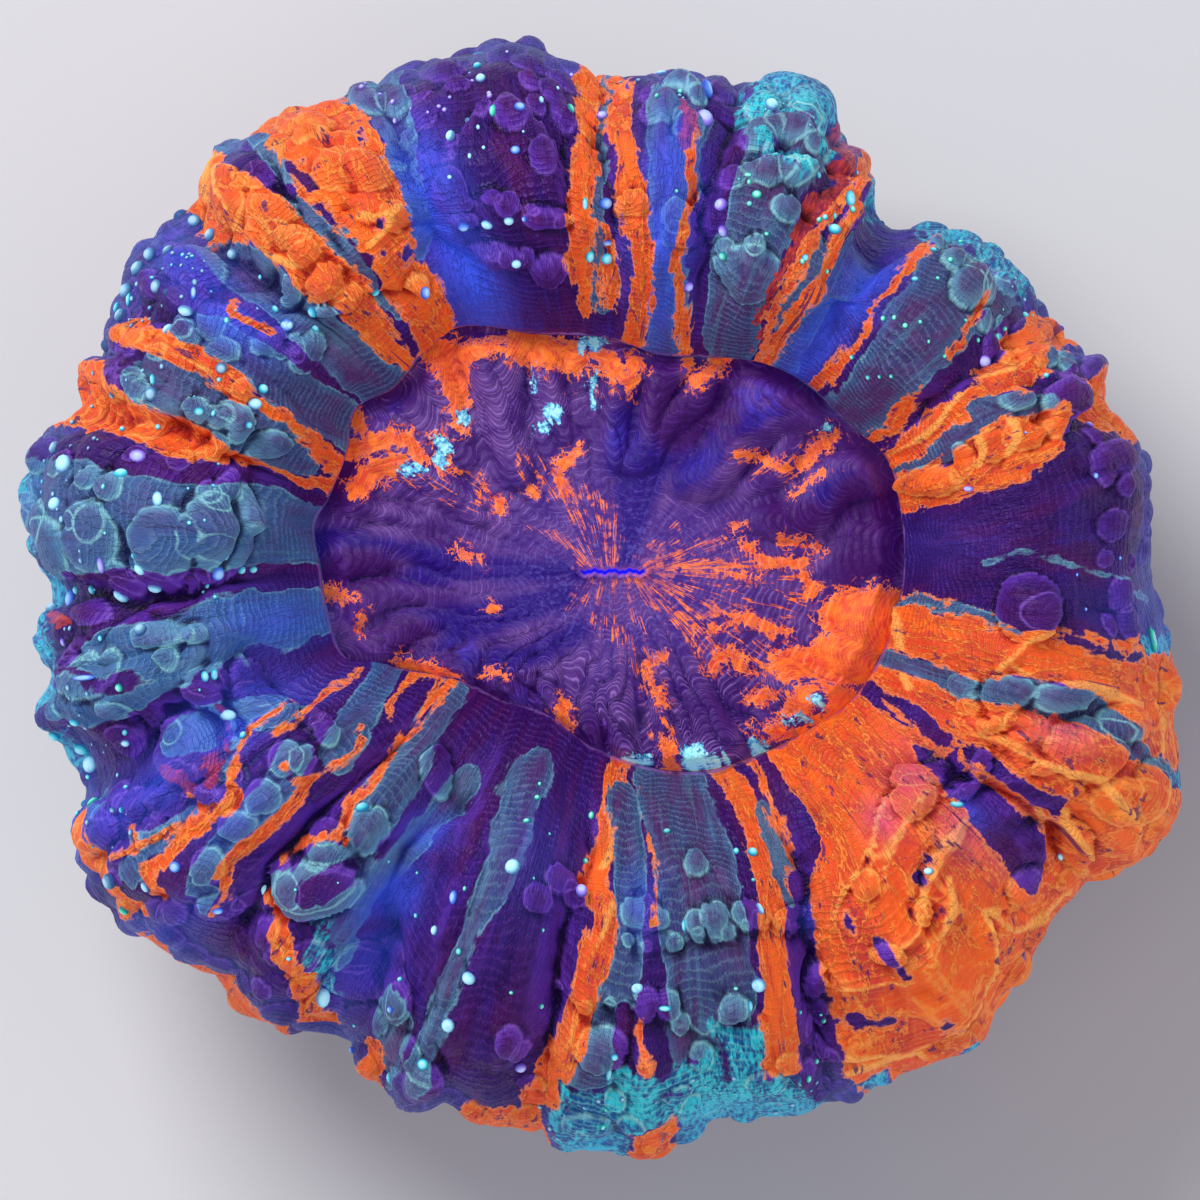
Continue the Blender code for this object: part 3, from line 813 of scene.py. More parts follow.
# Ledges, where an inner tier of flesh stands over the next one out: drop, size of the
# blisters along its edge, how many, and the plan places it runs through.
LEDGES = [
    (1.6, 0.8, 5, [(7.6, 27.7), (9.2, 28.3), (11, 28.8), (12.4, 28.6), (13.9, 28.0)]),
    (0.6, 0.6, 2, [(7.1, 22.6), (7.9, 23.1), (9.3, 23.4), (10.3, 23.5)]),
    (1.2, 0.8, 3, [(2.5, 33.1), (3.9, 34.2), (5.3, 34.2), (6.2, 33.3)]),
    (1.1, 0.6, 4, [(-18.7, 29.2), (-17.5, 29.4), (-16.2, 29.3), (-15.2, 29.1)]),
    (1.5, 0.6, 4, [(-15.2, 29.1), (-13.5, 29.8), (-11.9, 29.7), (-10.9, 29.1), (-10, 29.7)]),
    (2.0, 0.6, 5, [(-10.9, 29.6), (-9, 31.6), (-7.5, 32.5), (-5.8, 32.4), (-3.7, 30.8), (-2.9, 29.3)]),
    (0.8, 0.7, 5, [(-9.9, 26), (-8.5, 26.5), (-7.2, 26.5), (-6.2, 25.9), (-3.7, 25.5), (-2.7, 24.5)]),
    (0.6, 0.6, 3, [(-8.5, 22.1), (-7.2, 22.4), (-5.8, 22.1), (-3.2, 22)]),
    (0.7, 0.55, 8, [(0.7, -22.2), (3.2, -22.8), (5.8, -22.0), (7.4, -22.0), (8.9, -21.5), (10, -21.1)]),
    (1.0, 0.7, 3, [(1.7, -27), (3.2, -27.3), (4.7, -27.6), (6.4, -28.2), (7.8, -27.3), (9.8, -27.4)]),
    (0.8, 0.5, 3, [(-4, -25.8), (-2.1, -26.8), (-0.6, -26.8), (1.7, -26.3)]),
    (0.8, 0.6, 3, [(9.6, -21), (10.8, -21.2), (12.1, -22.2), (13.2, -22.4)]),
    (0.8, 0.0, 0, [(24.4, -8.7), (26.6, -9.4), (28.7, -10.4), (30.6, -11.9), (32.8, -13.4)]),
    (0.7, 0.0, 0, [(32.8, -13.4), (34.4, -14.4), (35.6, -15.5), (35.3, -17.4)]),
    (1.0, 0.0, 0, [(30.8, -14.3), (31.5, -16.2), (32.6, -17.7), (32.3, -19.4)]),
    (1.2, 0.0, 0, [(24.9, -20.6), (25.3, -23.8), (24.3, -26.7), (23.3, -28.6)]),
    (0.8, 0.0, 0, [(23.3, -28.6), (20.1, -30.2), (17.2, -31.3), (14.7, -31.8)]),
    (0.9, 0.4, 3, [(24.9, -20.6), (27.4, -20.6), (29.2, -20.1)]),
    (1.5, 0.8, 4, [(26.4, 15.6), (27.6, 16.7), (29.1, 15.2), (30.3, 14.2), (31, 13), (30, 11.7)]),
    (1.0, 0.8, 6, [(21.7, 25), (22.7, 22.6), (24.4, 21.6), (25.2, 20.1), (25.5, 18.6), (26.5, 17.2)]),
    (0.8, 0.7, 4, [(22.6, -6.8), (23.5, -6.8), (24.2, -7.9), (25, -8.3), (26, -7.2)]),
    (0.9, 0.6, 5, [(21.1, -9.6), (21.7, -12.3), (23.6, -13), (25.3, -12.4), (27.6, -12), (29, -11)]),
    (0.7, 0.8, 5, [(-35.4, 15.1), (-33.5, 15.7), (-32, 14.2), (-31.2, 12.3), (-30.3, 11.3)]),
    (0.7, 0.8, 4, [(-28.4, 9.3), (-26.3, 10), (-24.4, 10.3)]),
    (0.8, 0.7, 4, [(-22.7, 17), (-21, 16.2), (-20.2, 16.7)]),
    (0.9, 0.8, 4, [(-26.3, -6.8), (-25.2, -9.7), (-24, -9), (-23, -8)]),
    (0.9, 0.8, 5, [(-29.3, -11.6), (-28, -12.3), (-26.3, -12), (-24.4, -11.6)]),
    (0.7, 0.6, 4, [(-32.8, -16.8), (-31, -16), (-29.3, -14.8), (-27.5, -13.8)]),
    (0.8, 0.7, 3, [(-20, -7), (-18.6, -7.8), (-18.4, -9)]),
    (0.8, 0.7, 4, [(-36.3, -4.3), (-34.2, -4), (-32.3, -4)]),
]
over_rim = 1 - ramp(share, 1.0, 1.05)     # what is drawn in plan stops where the wall turns down
ledge_field = np.zeros_like(distance)
ledge_mm = np.full_like(distance, BEYOND)
rng = np.random.default_rng(7)
blisters = []
for drop, size, count, points in LEDGES:
    gap, along, side = plan.near(points)
    ends = ramp(along, 0.0, 0.15) * (1 - ramp(along, 0.85, 1.0)) * over_rim
    past = gap * side
    step = ramp(past, -0.15, 0.25) * (1 - ramp(past, 0.3, 2.6))
    crown = 0.5 * np.exp(-((past + 0.6) / 0.6) ** 2)
    ledge_field = ledge_field + 0.42 * drop * ends * (step - crown)
    ledge_mm = np.minimum(ledge_mm, np.where(ends > 0.3, gap, BEYOND))
    line_x, line_y = smooth_line(points)
    for k in range(count):
        at = int((k + 0.5 + 0.3 * rng.uniform(-1, 1)) / count * (len(line_x) - 1))
        radius = size * rng.uniform(0.6, 1.15)
        blisters.append((line_x[at], line_y[at], radius, radius * rng.uniform(0.8, 1.2), radius * 0.8))

# Blisters seen one by one: plan place, half widths and rise in mm.
BLISTERS = [
    # left, the group of large clear ones
    (-29, 3.7, 2, 2.5, 1.7), (-26.2, 4.5, 1.9, 2.5, 1.8), (-26.3, 7.1, 0.8, 0.7, 0.7),
    (-23.4, 5.7, 1.1, 1.6, 1.4), (-23.7, 3.4, 0.8, 1.6, 0.7), (-33.4, 4.3, 1.7, 2.3, 1.3),
    (-33, 5.2, 0.9, 1.3, 0.9), (-32.2, 7.4, 1, 0.9, 0.9), (-36.3, 3.3, 1.4, 2.2, 1.4),
    (-37.2, 5.2, 1.1, 1.5, 1), (-32, 0.9, 0.9, 0.8, 0.8), (-32.3, -3.8, 0.75, 0.75, 0.9),
    (-27.2, -2.2, 0.9, 0.7, 0.9), (-28.8, -3.8, 0.7, 0.9, 0.8), (-34.6, -5, 2.2, 1.6, 1.3),
    (-22.5, -5.2, 2, 1.6, 1.3), (-26.8, -6.2, 1.6, 0.9, 1), (-34.5, -0.7, 1.2, 1, 0.9),
    # lower left, with the folded flap
    (-28.2, -10, 2.5, 2.2, 1.9), (-29.3, -8.9, 0.9, 0.7, 2.1), (-22.3, -6.6, 2.4, 1.8, 1.1),
    (-26.8, -6.3, 1.5, 0.95, 1.3), (-34.4, -15.1, 1.8, 2, 1.5), (-34.9, -17.6, 1.3, 1.1, 0.9),
    (-26.4, -12.6, 0.8, 0.8, 1.1), (-25.1, -12.8, 0.6, 0.6, 1), (-10.8, -10.3, 1.2, 1.4, 0.8),
    (-15.2, -14.8, 0.9, 1.3, 0.8), (-24.2, -14.6, 1.3, 1, 0.6), (-22.6, -12.8, 1.2, 1.1, 0.6),
    (-21.2, -10.4, 1.1, 1.2, 0.8), (-20.1, -10.5, 0.9, 1, 0.8), (-26, -17, 1.1, 1.2, 0.9),
    (-18.4, -16.7, 1.7, 0.9, 0.9), (-19.4, -19.2, 3.1, 1.9, 1.8), (-19.3, -18.6, 2.6, 1.5, 2.5),
    (-20.9, -18.9, 1.1, 1.1, 2.6), (-21.7, -18.4, 0.9, 1.3, 2), (-18.2, -18.4, 1.6, 1.1, 2.8),
    (-16.1, -15.3, 1.1, 1.7, 0.9), (-28.4, -20.2, 0.9, 1.1, 0.9), (-32, -20.6, 0.9, 0.8, 0.8),
    (-29.7, -20.6, 1, 1.3, 0.7), (-23.7, -20.2, 1, 0.8, 0.5), (-18.6, -15.3, 1.3, 0.8, 0.7),
    # bottom, with the row across the grey lobe
    (2.1, -20.5, 1.3, 1.2, 1.3), (3.2, -21, 0.8, 0.8, 0.9), (5.8, -21.1, 0.7, 0.8, 0.9),
    (7, -20.8, 1, 0.95, 1.2), (9.1, -20.5, 1, 0.9, 1), (5.8, -17.2, 0.8, 1, 0.7),
    (2.6, -26.2, 0.8, 0.8, 0.8), (3.8, -26.3, 0.9, 0.9, 0.9), (8.3, -26.7, 0.95, 0.95, 0.8),
    (12.1, -21.1, 1.1, 1.1, 0.6), (14.6, -26.7, 0.7, 1.5, 0.9), (-3, -18.2, 1.1, 0.95, 0.9),
    (-2.1, -19.2, 0.85, 0.95, 0.8), (-4.6, -19.6, 1, 1, 1), (-0.4, -29.6, 1.7, 1.5, 1.1),
    (-15, -27.2, 1.5, 1.7, 1.2), (-17.3, -26.4, 1.1, 1.7, 0.9), (-17.5, -29.4, 1.7, 1.1, 0.9),
    (-12.2, -31.7, 1.3, 1.1, 1.1), (-6.5, -28.9, 0.8, 1.1, 0.9), (-13.5, -33.6, 1.3, 0.9, 0.9),
    (-1.4, -35.1, 1.7, 0.9, 0.9), (-19.2, -27.9, 0.9, 0.9, 0.8),
    # right
    (26.1, -6.1, 2.1, 1.2, 1), (30, -6.4, 2.1, 1, 1), (34.2, -8.1, 1.9, 1.3, 0.9),
    (22.8, -5.5, 1.1, 0.85, 0.6), (27.6, -0.5, 2.4, 2.3, 1.2), (28.5, -0.8, 1.4, 1.2, 1.5),
    (19.8, -10.6, 1.8, 1.5, 1.2), (20, -12.8, 1.5, 1.7, 1), (24.4, -10.9, 0.9, 1.3, 1),
    (23.9, -12.6, 0.9, 0.9, 0.9), (31.7, -9.8, 2.8, 2.1, 0.9), (34.4, -13.4, 2.2, 1.7, 0.7),
    (36.2, -12.8, 1.5, 2.3, 0.8), (31.9, -17.4, 1.1, 2, 0.7), (18.5, -23.5, 1.1, 0.8, 1),
    (27.9, -19.5, 1.4, 1, 1), (20.7, -20.4, 0.5, 1, 0.9), (17, -18.8, 0.9, 1.1, 0.8),
    (29.7, 12.9, 1.4, 1.25, 1.9), (32.3, 15.5, 0.9, 0.8, 1.2), (29.2, 11.4, 0.9, 1, 0.9),
    (31, 13.7, 1.1, 0.9, 0.9), (26.8, 13.2, 1.1, 0.8, 0.7), (27.1, 10.8, 1.3, 1.1, 0.8),
    (25.3, 10.2, 1.1, 1.1, 0.7), (21.3, 7.8, 1.9, 1, 0.8), (23.2, 9.1, 0.9, 1.2, 0.7),
    (23.7, 20.6, 1.3, 1.2, 1), (28.9, 18.3, 1.3, 1.1, 0.8), (33, 9.1, 1.8, 1.1, 1),
    # upper left
    (-22, 25.3, 1.6, 1.4, 1.4), (-21, 23.8, 1.5, 0.8, 0.9), (-23, 24, 1.2, 0.8, 0.7),
    (-18.5, 20.8, 1.4, 1.5, 1.4), (-16.9, 19.5, 1.1, 1.1, 1.2), (-12.3, 20.2, 0.65, 0.55, 1),
    (-19.9, 22.8, 1, 1, 0.7), (-25.2, 26.7, 1.3, 2, 0.9), (-20.2, 31.5, 2, 1, 0.9),
    (-17.9, 28, 1.5, 1.2, 0.7), (-15.9, 28.2, 1.5, 1.3, 0.9), (-14, 25.3, 1, 1.2, 0.9),
    (-16.2, 33.8, 1.3, 1, 0.8), (-14.2, 33.8, 1.5, 1, 0.8), (-27.5, 22.2, 1.8, 1.6, 1.4),
    (-22, 17.2, 1, 0.85, 0.9), (-21.2, 20.5, 0.8, 1, 0.8), (-18.2, 18.7, 0.85, 0.7, 0.8),
    (-10.5, 27, 1.2, 1.5, 0.6), (-9.5, 24.7, 1, 0.8, 0.7), (-4, 25, 1.5, 0.9, 0.9), (-7.2, 22, 1.8, 1, 0.8),
    (-3.9, 21.3, 1.2, 1, 0.7), (-4.2, 29.3, 1, 1.2, 0.7), (-30.7, 21, 0.85, 1.1, 0.9),
    (-28.9, 23.2, 0.9, 0.8, 0.9), (-32.5, 17.4, 0.8, 1.1, 0.9), (-34.4, 15.7, 1.1, 0.8, 0.9),
    (-32.9, 14.6, 1.1, 1.5, 0.9), (-24.1, 11.5, 0.9, 1.3, 0.9), (-24, 13.8, 0.75, 0.75, 0.7),
    (-27.1, 12.5, 0.95, 0.85, 0.8), (-21.8, 10, 1.3, 1.1, 0.9), (-22.4, 16.8, 1.1, 0.8, 0.8),
    (-25.2, 16.4, 1.1, 0.8, 0.8), (-26, 18.3, 1.1, 1.3, 0.7), (-19.5, 15.7, 1.5, 1.1, 0.7),
    # top
    (12.1, 34.4, 2.1, 0.9, 0.9), (13.7, 32.8, 1.8, 2, 1.2), (10.3, 32.6, 1.1, 0.9, 0.9),
    (11.9, 31.2, 1.8, 1.1, 0.8), (10, 30.6, 1.4, 1.1, 0.8), (12.1, 28, 1.1, 0.9, 0.7),
    (10.3, 28, 1.6, 1, 0.8), (9.2, 21.4, 2.3, 2, 0.8), (11.7, 25.6, 1.1, 0.9, 0.7),
    (7.5, 34.2, 1.1, 1, 0.9), (5.2, 34.3, 1.8, 0.9, 0.9), (2.1, 34.6, 1.4, 0.7, 0.8),
    (3.7, 32.2, 1.6, 0.9, 0.7), (5.3, 31.2, 1.1, 1, 0.9), (4.7, 25.3, 1.2, 1.2, 0.8),
    (4.6, 23.9, 1.2, 1, 0.6), (1.6, 26.2, 1.2, 0.9, 0.7), (16.4, 29.4, 1.6, 1.1, 0.9),
    (17.2, 27.4, 1.1, 0.8, 0.8), (16.5, 25.6, 1.1, 0.9, 0.6),
]
# Fields of small blisters between them: first and last bearing, inner and outer share, how
# many, and smallest and largest radius.
BLISTER_FIELDS = [
    (164, 197, 0.2, 1.0, 26, 0.6, 1.1), (140, 164, 0.4, 1.0, 22, 0.6, 1.1),
    (118, 140, 0.75, 1.0, 12, 0.6, 1.2), (92, 118, 0.72, 1.0, 30, 0.7, 1.4),
    (52, 92, 0.75, 1.0, 22, 0.6, 1.2), (28, 48, 0.8, 1.0, 24, 0.6, 1.2), (-6, 28, 0.75, 1.0, 20, 0.6, 1.3),
    (197, 212, 0.6, 1.0, 12, 0.6, 1.2), (216, 264, 0.75, 1.0, 34, 0.6, 1.4),
    (264, 296, 0.75, 1.0, 24, 0.6, 1.2), (296, 354, 0.85, 1.0, 8, 0.6, 1.3),
]
at_share = share[:SKIN_ROWS, 0]
skin_blisters = []      # bearing, distance down the skin, half widths and rise
for first, last, inner, outer, count, small, large in BLISTER_FIELDS:
    for _ in range(count):
        at, way = rng.uniform(first, last), rng.uniform(inner, outer + 0.16)
        radius = small + (large - small) * rng.random() ** 1.8
        skin_blisters.append((at, np.interp(way, at_share, out_mm[:SKIN_ROWS, 0]), radius,
                              radius * rng.uniform(0.8, 1.3), radius * 0.62))
# Bubbles along the rim itself: first and last bearing, how many, and their radii.
for first, last, count, small, large in [
    (160, 216, 34, 0.7, 1.5), (216, 262, 18, 0.8, 1.6), (262, 300, 20, 0.6, 1.3), (300, 356, 15, 0.8, 1.6),
    (-4, 30, 14, 0.8, 1.5), (30, 52, 16, 0.8, 1.4), (53, 90, 20, 0.7, 1.4), (90, 122, 18, 0.8, 1.5),
    (122, 140, 8, 0.8, 1.4), (140, 160, 16, 0.6, 1.3),
]:
    for k in range(count):
        at = first + (last - first) * (k + 0.5 + rng.uniform(-0.4, 0.4)) / count
        radius = rng.uniform(small, large)
        way = np.interp(rng.uniform(0.95, 1.02), at_share, out_mm[:SKIN_ROWS, 0])
        skin_blisters.append((at, way, radius, radius * rng.uniform(0.9, 1.3), radius * 0.62))
skin_blisters.sort(key=lambda one: -one[2])
blisters.sort(key=lambda one: -one[2])
blister_field = np.zeros_like(distance)
# Signed distance to the edges of the blisters, each third of them in a field of its own so
# that edges that cross stay apart.
bubble_mm = [np.full_like(distance, -Paint.LIMIT) for _ in range(3)]
placed = [("plan",) + one for one in BLISTERS + blisters] + [("skin",) + one for one in skin_blisters]
for k, (laid_in, x, y, half_x, half_y, rise) in enumerate(placed):
    size = min(half_x, half_y)
    bumpy = 0.06 * np.sin(3.1 * plan.across + 2.3 * plan.up + x) \
        + 0.04 * np.sin(5.7 * plan.up - 4.9 * plan.across + y)
    if laid_in == "plan":
        gap = plan.oval(x, y, half_x, half_y) + BEYOND * ramp(share, 1.0, 1.04)
    else:
        gap = np.hypot(apart(bearing, x) * mm_per_degree / half_x, (out_mm - y) / half_y)
    gap = gap + bumpy * min(1.0, 0.7 / size)
    cap = 1.2 * rise * np.clip(1 - gap**2, 0, 1) ** 0.7
    blister_field = np.maximum(blister_field, cap) + 0.3 * np.minimum(blister_field, cap)
    bubble_mm[k % 3] = np.maximum(bubble_mm[k % 3], (1 - gap) * size)
nearest_bubble = np.max(bubble_mm, axis=0)
blister_field = blister_field - 0.18 * np.exp(np.minimum(nearest_bubble, 0) / 0.3) * (nearest_bubble < 0)

# Sharp folds of the orange lobes, raised, and short clefts, darkened by the painted shade in hollows: height
# or depth, plan places.
RIDGES = [
    (0.7, [(17.2, -16), (16.4, -17.6), (15.6, -19.2), (14.9, -21.5), (14.3, -23.3)]),
    (0.9, [(23.9, -15), (22.4, -16.5), (21.2, -18.1), (20.5, -20.1), (20.2, -22), (19, -22.9),
           (17.6, -23.8)]),
    (0.7, [(22.4, -18.3), (22.5, -20.2), (21.6, -22.2), (21.2, -24.4)]),
    (0.9, [(24.9, -20.6), (25.3, -23.8), (24.3, -26.7), (23.3, -28.6)]),
    (0.7, [(25.4, -20.6), (27.2, -22), (29.2, -21.5), (30.8, -20.8)]),
    (0.7, [(30.6, -15.6), (32.1, -17.1), (32.7, -18.8), (31.3, -20.6)]),
    (0.6, [(35.6, -16), (35.5, -18.1), (32.9, -19.7)]), (0.6, [(29.2, -14.9), (29.7, -16.7), (29.1, -19)]),
    (0.7, [(23.3, -28.6), (20.1, -30.2), (17.2, -31.1), (14.7, -31.6)]),
    (0.5, [(16, -32.7), (18.3, -31.5), (21, -30.4)]), (0.5, [(19.4, -15.1), (18.3, -17.4), (18.3, -19.2)]),
    (0.5, [(21, -22.2), (20.6, -24.7), (18.3, -25.8), (16, -26.7)]),
    (0.8, [(24.1, -8.7), (26, -9.4), (28.3, -10.6), (30.6, -11.5), (32.5, -11.9)]),
    (0.8, [(32.5, -11.9), (34, -13.8), (35.6, -15.5), (35.3, -17.7)]),
    (0.8, [(25.5, -4.7), (26.6, -3.8), (27.6, -2.8), (29.1, -2.1)]),
    (0.7, [(26.8, -4.5), (28.7, -5.5), (31.1, -5.6), (33.6, -6.4), (35.3, -6.8)]),
    (0.6, [(19.2, -11.7), (18.3, -12.6), (17.5, -14.9), (17.2, -18)]),
    (0.6, [(21.3, -11.9), (19.8, -14.3), (18.7, -15.8), (17.2, -17.2)]),
    (0.6, [(24.3, -14.5), (22.1, -16), (20.9, -17.9)]), (0.5, [(31, -14.7), (31.9, -17), (32.8, -18.1)]),
    (0.5, [(26.2, -9.4), (26, -7.9), (26.8, -7.3)]), (0.5, [(19.5, -5.6), (19.6, -3), (19.5, -0.7)]),
    (0.6, [(36.6, -6.8), (37, -9.2), (36.6, -12.4), (35.8, -15.4)]),
    (0.6, [(-25.5, 30), (-26.2, 28.8), (-27, 26.7)]), (0.5, [(-25, 29.6), (-25.4, 27.3), (-24.7, 25.6)]),
    (0.7, [(-21.8, 29.6), (-20.7, 27), (-19.7, 25.3), (-18.8, 24)]),
    (0.6, [(-19.2, 24.3), (-17.8, 22.8), (-16.2, 21.3), (-14.3, 20)]),
    (0.5, [(-16.5, 25.3), (-14.7, 25.2), (-13.5, 26)]), (0.5, [(-15.7, 23.3), (-14.7, 24.3), (-14.2, 25)]),
    (0.5, [(-24.5, 24.8), (-23, 23), (-20.7, 22)]), (0.6, [(-17.8, 19.2), (-17.2, 18), (-15.8, 17.3)]),
    (0.6, [(18.6, 9.6), (21.1, 11), (22.5, 12.8), (24.3, 14.8), (26.7, 15.3)]),
    (0.5, [(24.1, 11.2), (24.7, 10.1), (24.4, 8.9)]), (0.5, [(26.2, 11.9), (26.6, 10.7), (26.2, 9.6)]),
    (0.6, [(-32.7, 18.3), (-31.2, 17.2), (-29.5, 16.4), (-27.4, 15.8), (-26, 14.9)]),
    (0.6, [(-33.5, 15.7), (-32.3, 14.2), (-30.8, 10.8), (-28.6, 9.1)]),
    (0.6, [(15.5, -19.5), (14.5, -22.4), (14.2, -24.3)]), (0.5, [(0.4, -13.3), (0.6, -15.6), (-0.2, -17.1)]),
    (0.5, [(0.4, -19.7), (-0.4, -22), (-1.7, -24.3)]), (0.5, [(-2.1, -27.7), (-2.8, -29.6), (-4.7, -30.7)]),
]
CLEFTS = [
    (2, [(-31.4, 0.7), (-29.9, 0.3), (-28.5, 0.7), (-27.7, 1.2)]),
    (1.2, [(-24.4, 2), (-24.4, 3.5), (-24.5, 5.7), (-24.2, 7)]),
    (1.4, [(-22.5, 2.3), (-22.4, 4), (-22.3, 5.7), (-22.5, 6.8)]),
    (1.2, [(-31.9, 1.3), (-31.5, 3.3), (-31.7, 5.5)]), (1.1, [(-27.9, 0), (-27, 0.9), (-24.5, 1.3)]),
    (2.4, [(-30.3, -7.8), (-29, -7.6), (-28, -7.2)]), (1.2, [(-31.6, -9.5), (-32, -7.8), (-32.8, -6.8)]),
    (1.1, [(-32.8, -12.3), (-31.6, -10.2), (-30.9, -8.7)]),
    (1.4, [(-22.7, -20.6), (-21.4, -21), (-18.6, -21.2), (-16.7, -20.6)]),
    (1.8, [(-24.1, 8), (-23.3, 9.4), (-22.5, 11.3)]), (1.4, [(-15.4, 19.3), (-13.8, 19.3), (-11.9, 20)]),
    (1.2, [(-2.5, 32.7), (-2.4, 30), (-2.6, 25.3), (-2.5, 23)]),
    (1.4, [(6.8, 27), (6.2, 27.8), (5.7, 26.7), (5.2, 26)]),
    (1.2, [(17.2, -16.2), (17.5, -13.6), (18.3, -11.3)]),
    (1.2, [(14.4, -22.4), (15.8, -19.5), (16.9, -17.6), (17.2, -15.6)]),
    (1.5, [(20.1, -22.2), (20.6, -18.8), (21, -17), (22.2, -16)]),
    (1.2, [(-11.5, -28.7), (-11.1, -30.2), (-10.5, -31.5)]),
    (1.2, [(1.4, -26.4), (1.4, -29), (0.8, -31.7), (-0.5, -33.4)]),
    (1.1, [(14, -21.2), (14.3, -23.9), (13.6, -26.7), (13, -29.6)]),
]
ridge_field = np.zeros_like(distance)
ridge_mm = np.full_like(distance, BEYOND)
for rise, points in RIDGES:
    gap, along, _ = plan.near(points)
    gap = gap + 0.3 * wander * (gap < BEYOND) + BEYOND * (1 - over_rim)
    crest = 0.85 * rise * np.exp(-np.abs(gap / 0.36) ** 1.3)
    ridge_field = np.maximum(ridge_field, crest * ramp(along, 0, 0.1))
    ridge_mm = np.minimum(ridge_mm, gap)
cleft_field = np.zeros_like(distance)
for depth, points in CLEFTS:
    gap, along, _ = plan.near(points)
    ends = ramp(along, 0.0, 0.2) * (1 - ramp(along, 0.8, 1.0))
    cleft_field = np.maximum(cleft_field, 0.6 * depth * ends * np.exp(-np.abs(gap / 0.34) ** 1.2))

# The skin itself is puffed and wrinkled everywhere, most of all near the rim.
WRINKLE = [
    (0, 0.1), (17, 0.45), (30, 0.25), (40, 0.15), (57, 0.3), (70, 0.15), (88, 0.35), (104, 0.15), (122, 0.4),
    (136, 0.4), (146, 0.15), (160, 0.35), (175, 0.1), (200, 0.2), (212, 0.3), (228, 0.25), (248, 0.15),
    (266, 0.3), (280, 0.12), (292, 0.3), (304, 0.4), (318, 0.45), (332, 0.45), (346, 0.4), (354, 0.2),
]


def folds_along(cells_round, cells_out, seed):
    """Sharp-topped wrinkles, from 0 to 1."""
    bent = mantle.turns + 0.010 * layered(mantle.turns, top_t, 50, 10, seed + 9)
    return (1 - np.abs(layered(bent, top_t, cells_round, cells_out, seed, 2)) * 1.9).clip(0, 1)


def puffs(cells_round, cells_out, seed):
    """Rounded cushions parted by sharp creases, from 0 to 1."""
    bent = mantle.turns + 0.006 * layered(mantle.turns, top_t, 60, 12, seed + 9)
    return np.clip(np.abs(layered(bent, top_t, cells_round, cells_out, seed, 2)) * 2.4, 0, 1) ** 0.65


# How puffed the skin is by bearing.
PUFFED = [
    (0, 0.3), (15, 0.5), (38, 0.3), (60, 0.6), (80, 0.8), (104, 0.5), (122, 0.8), (150, 0.9), (175, 1.0),
    (200, 1.0), (215, 0.7), (235, 0.6), (255, 0.6), (270, 0.8), (285, 0.45), (300, 0.2), (318, 0.12),
    (335, 0.15), (350, 0.25),
]
puffed = round_curve(PUFFED, bearing)
crumple = round_curve(WRINKLE, bearing) * (0.7 + 0.5 * ramp(share, 0.3, 1.0))
wrinkles = folds_along(100, 4, 41)
cross_wrinkles = folds_along(44, 26, 47)
swell = 1.3 * layered(mantle.turns, top_t, 30, 4, 61, 3) * ramp(share, 0.05, 0.3)
swell = swell * (1 - 0.4 * np.exp(-(apart(bearing, 318) / 20) ** 2))
crumples = crumple * (0.9 * wrinkles**1.5 + 0.15 * cross_wrinkles**1.5) * (1 - ramp(share, 0.8, 0.97))
fine_puffs = puffed * (1.0 * puffs(34, 8, 61) * ramp(share, 0.15, 0.6)
                       + 0.45 * puffs(84, 19, 63) * ramp(share, 0.05, 0.4))
relief = 0.8 * swell + crumples + fine_puffs + blister_field + ridge_field - ledge_field - cleft_field
at_rim = ramp(share, 0.82, 0.98)
relief = relief * (1 - 0.35 * at_rim)
relief = relief + at_rim * (np.clip(relief - 0.5, -0.9, 1.2) - relief)
too_high = np.maximum(relief - 1.5, 0)
relief = relief - too_high + 1.3 * (1 - np.exp(-too_high / 1.3)) - furrow_field
lip_bead = 0.3 * np.exp(-((out_mm - 2.0) / 0.7) ** 2)
relief = relief * ramp(top_t, 0.0, 0.06) * (1 - ramp(top_t, 0.9, 1.0)) + lip_bead
relief = np.where(seen, relief, 0.0)
smooth_normals = grid_normals(mantle_places)
mantle_places = push_out(mantle_places, relief)
# How far the skin tilts from its smooth shape, and how sunk each place is near and over a wide reach: the
# shading below paints highlight and shade from these.
tilt = 1 - np.sum(smooth_normals * grid_normals(mantle_places), axis=2)
cavity = 1.3 * (blurred(relief, 2) - relief) + 0.7 * (blurred(relief, 9) - relief)
depth = blurred(relief, 36) - relief

# Colour of the mantle.  Edges wander with the relief, as the pigment does.
wander_x = layered(mantle.turns, top_t, 60, 9, 71)
wander_y = layered(mantle.turns, top_t, 60, 9, 81)
fine_wander = layered(mantle.turns, top_t, 150, 34, 75)


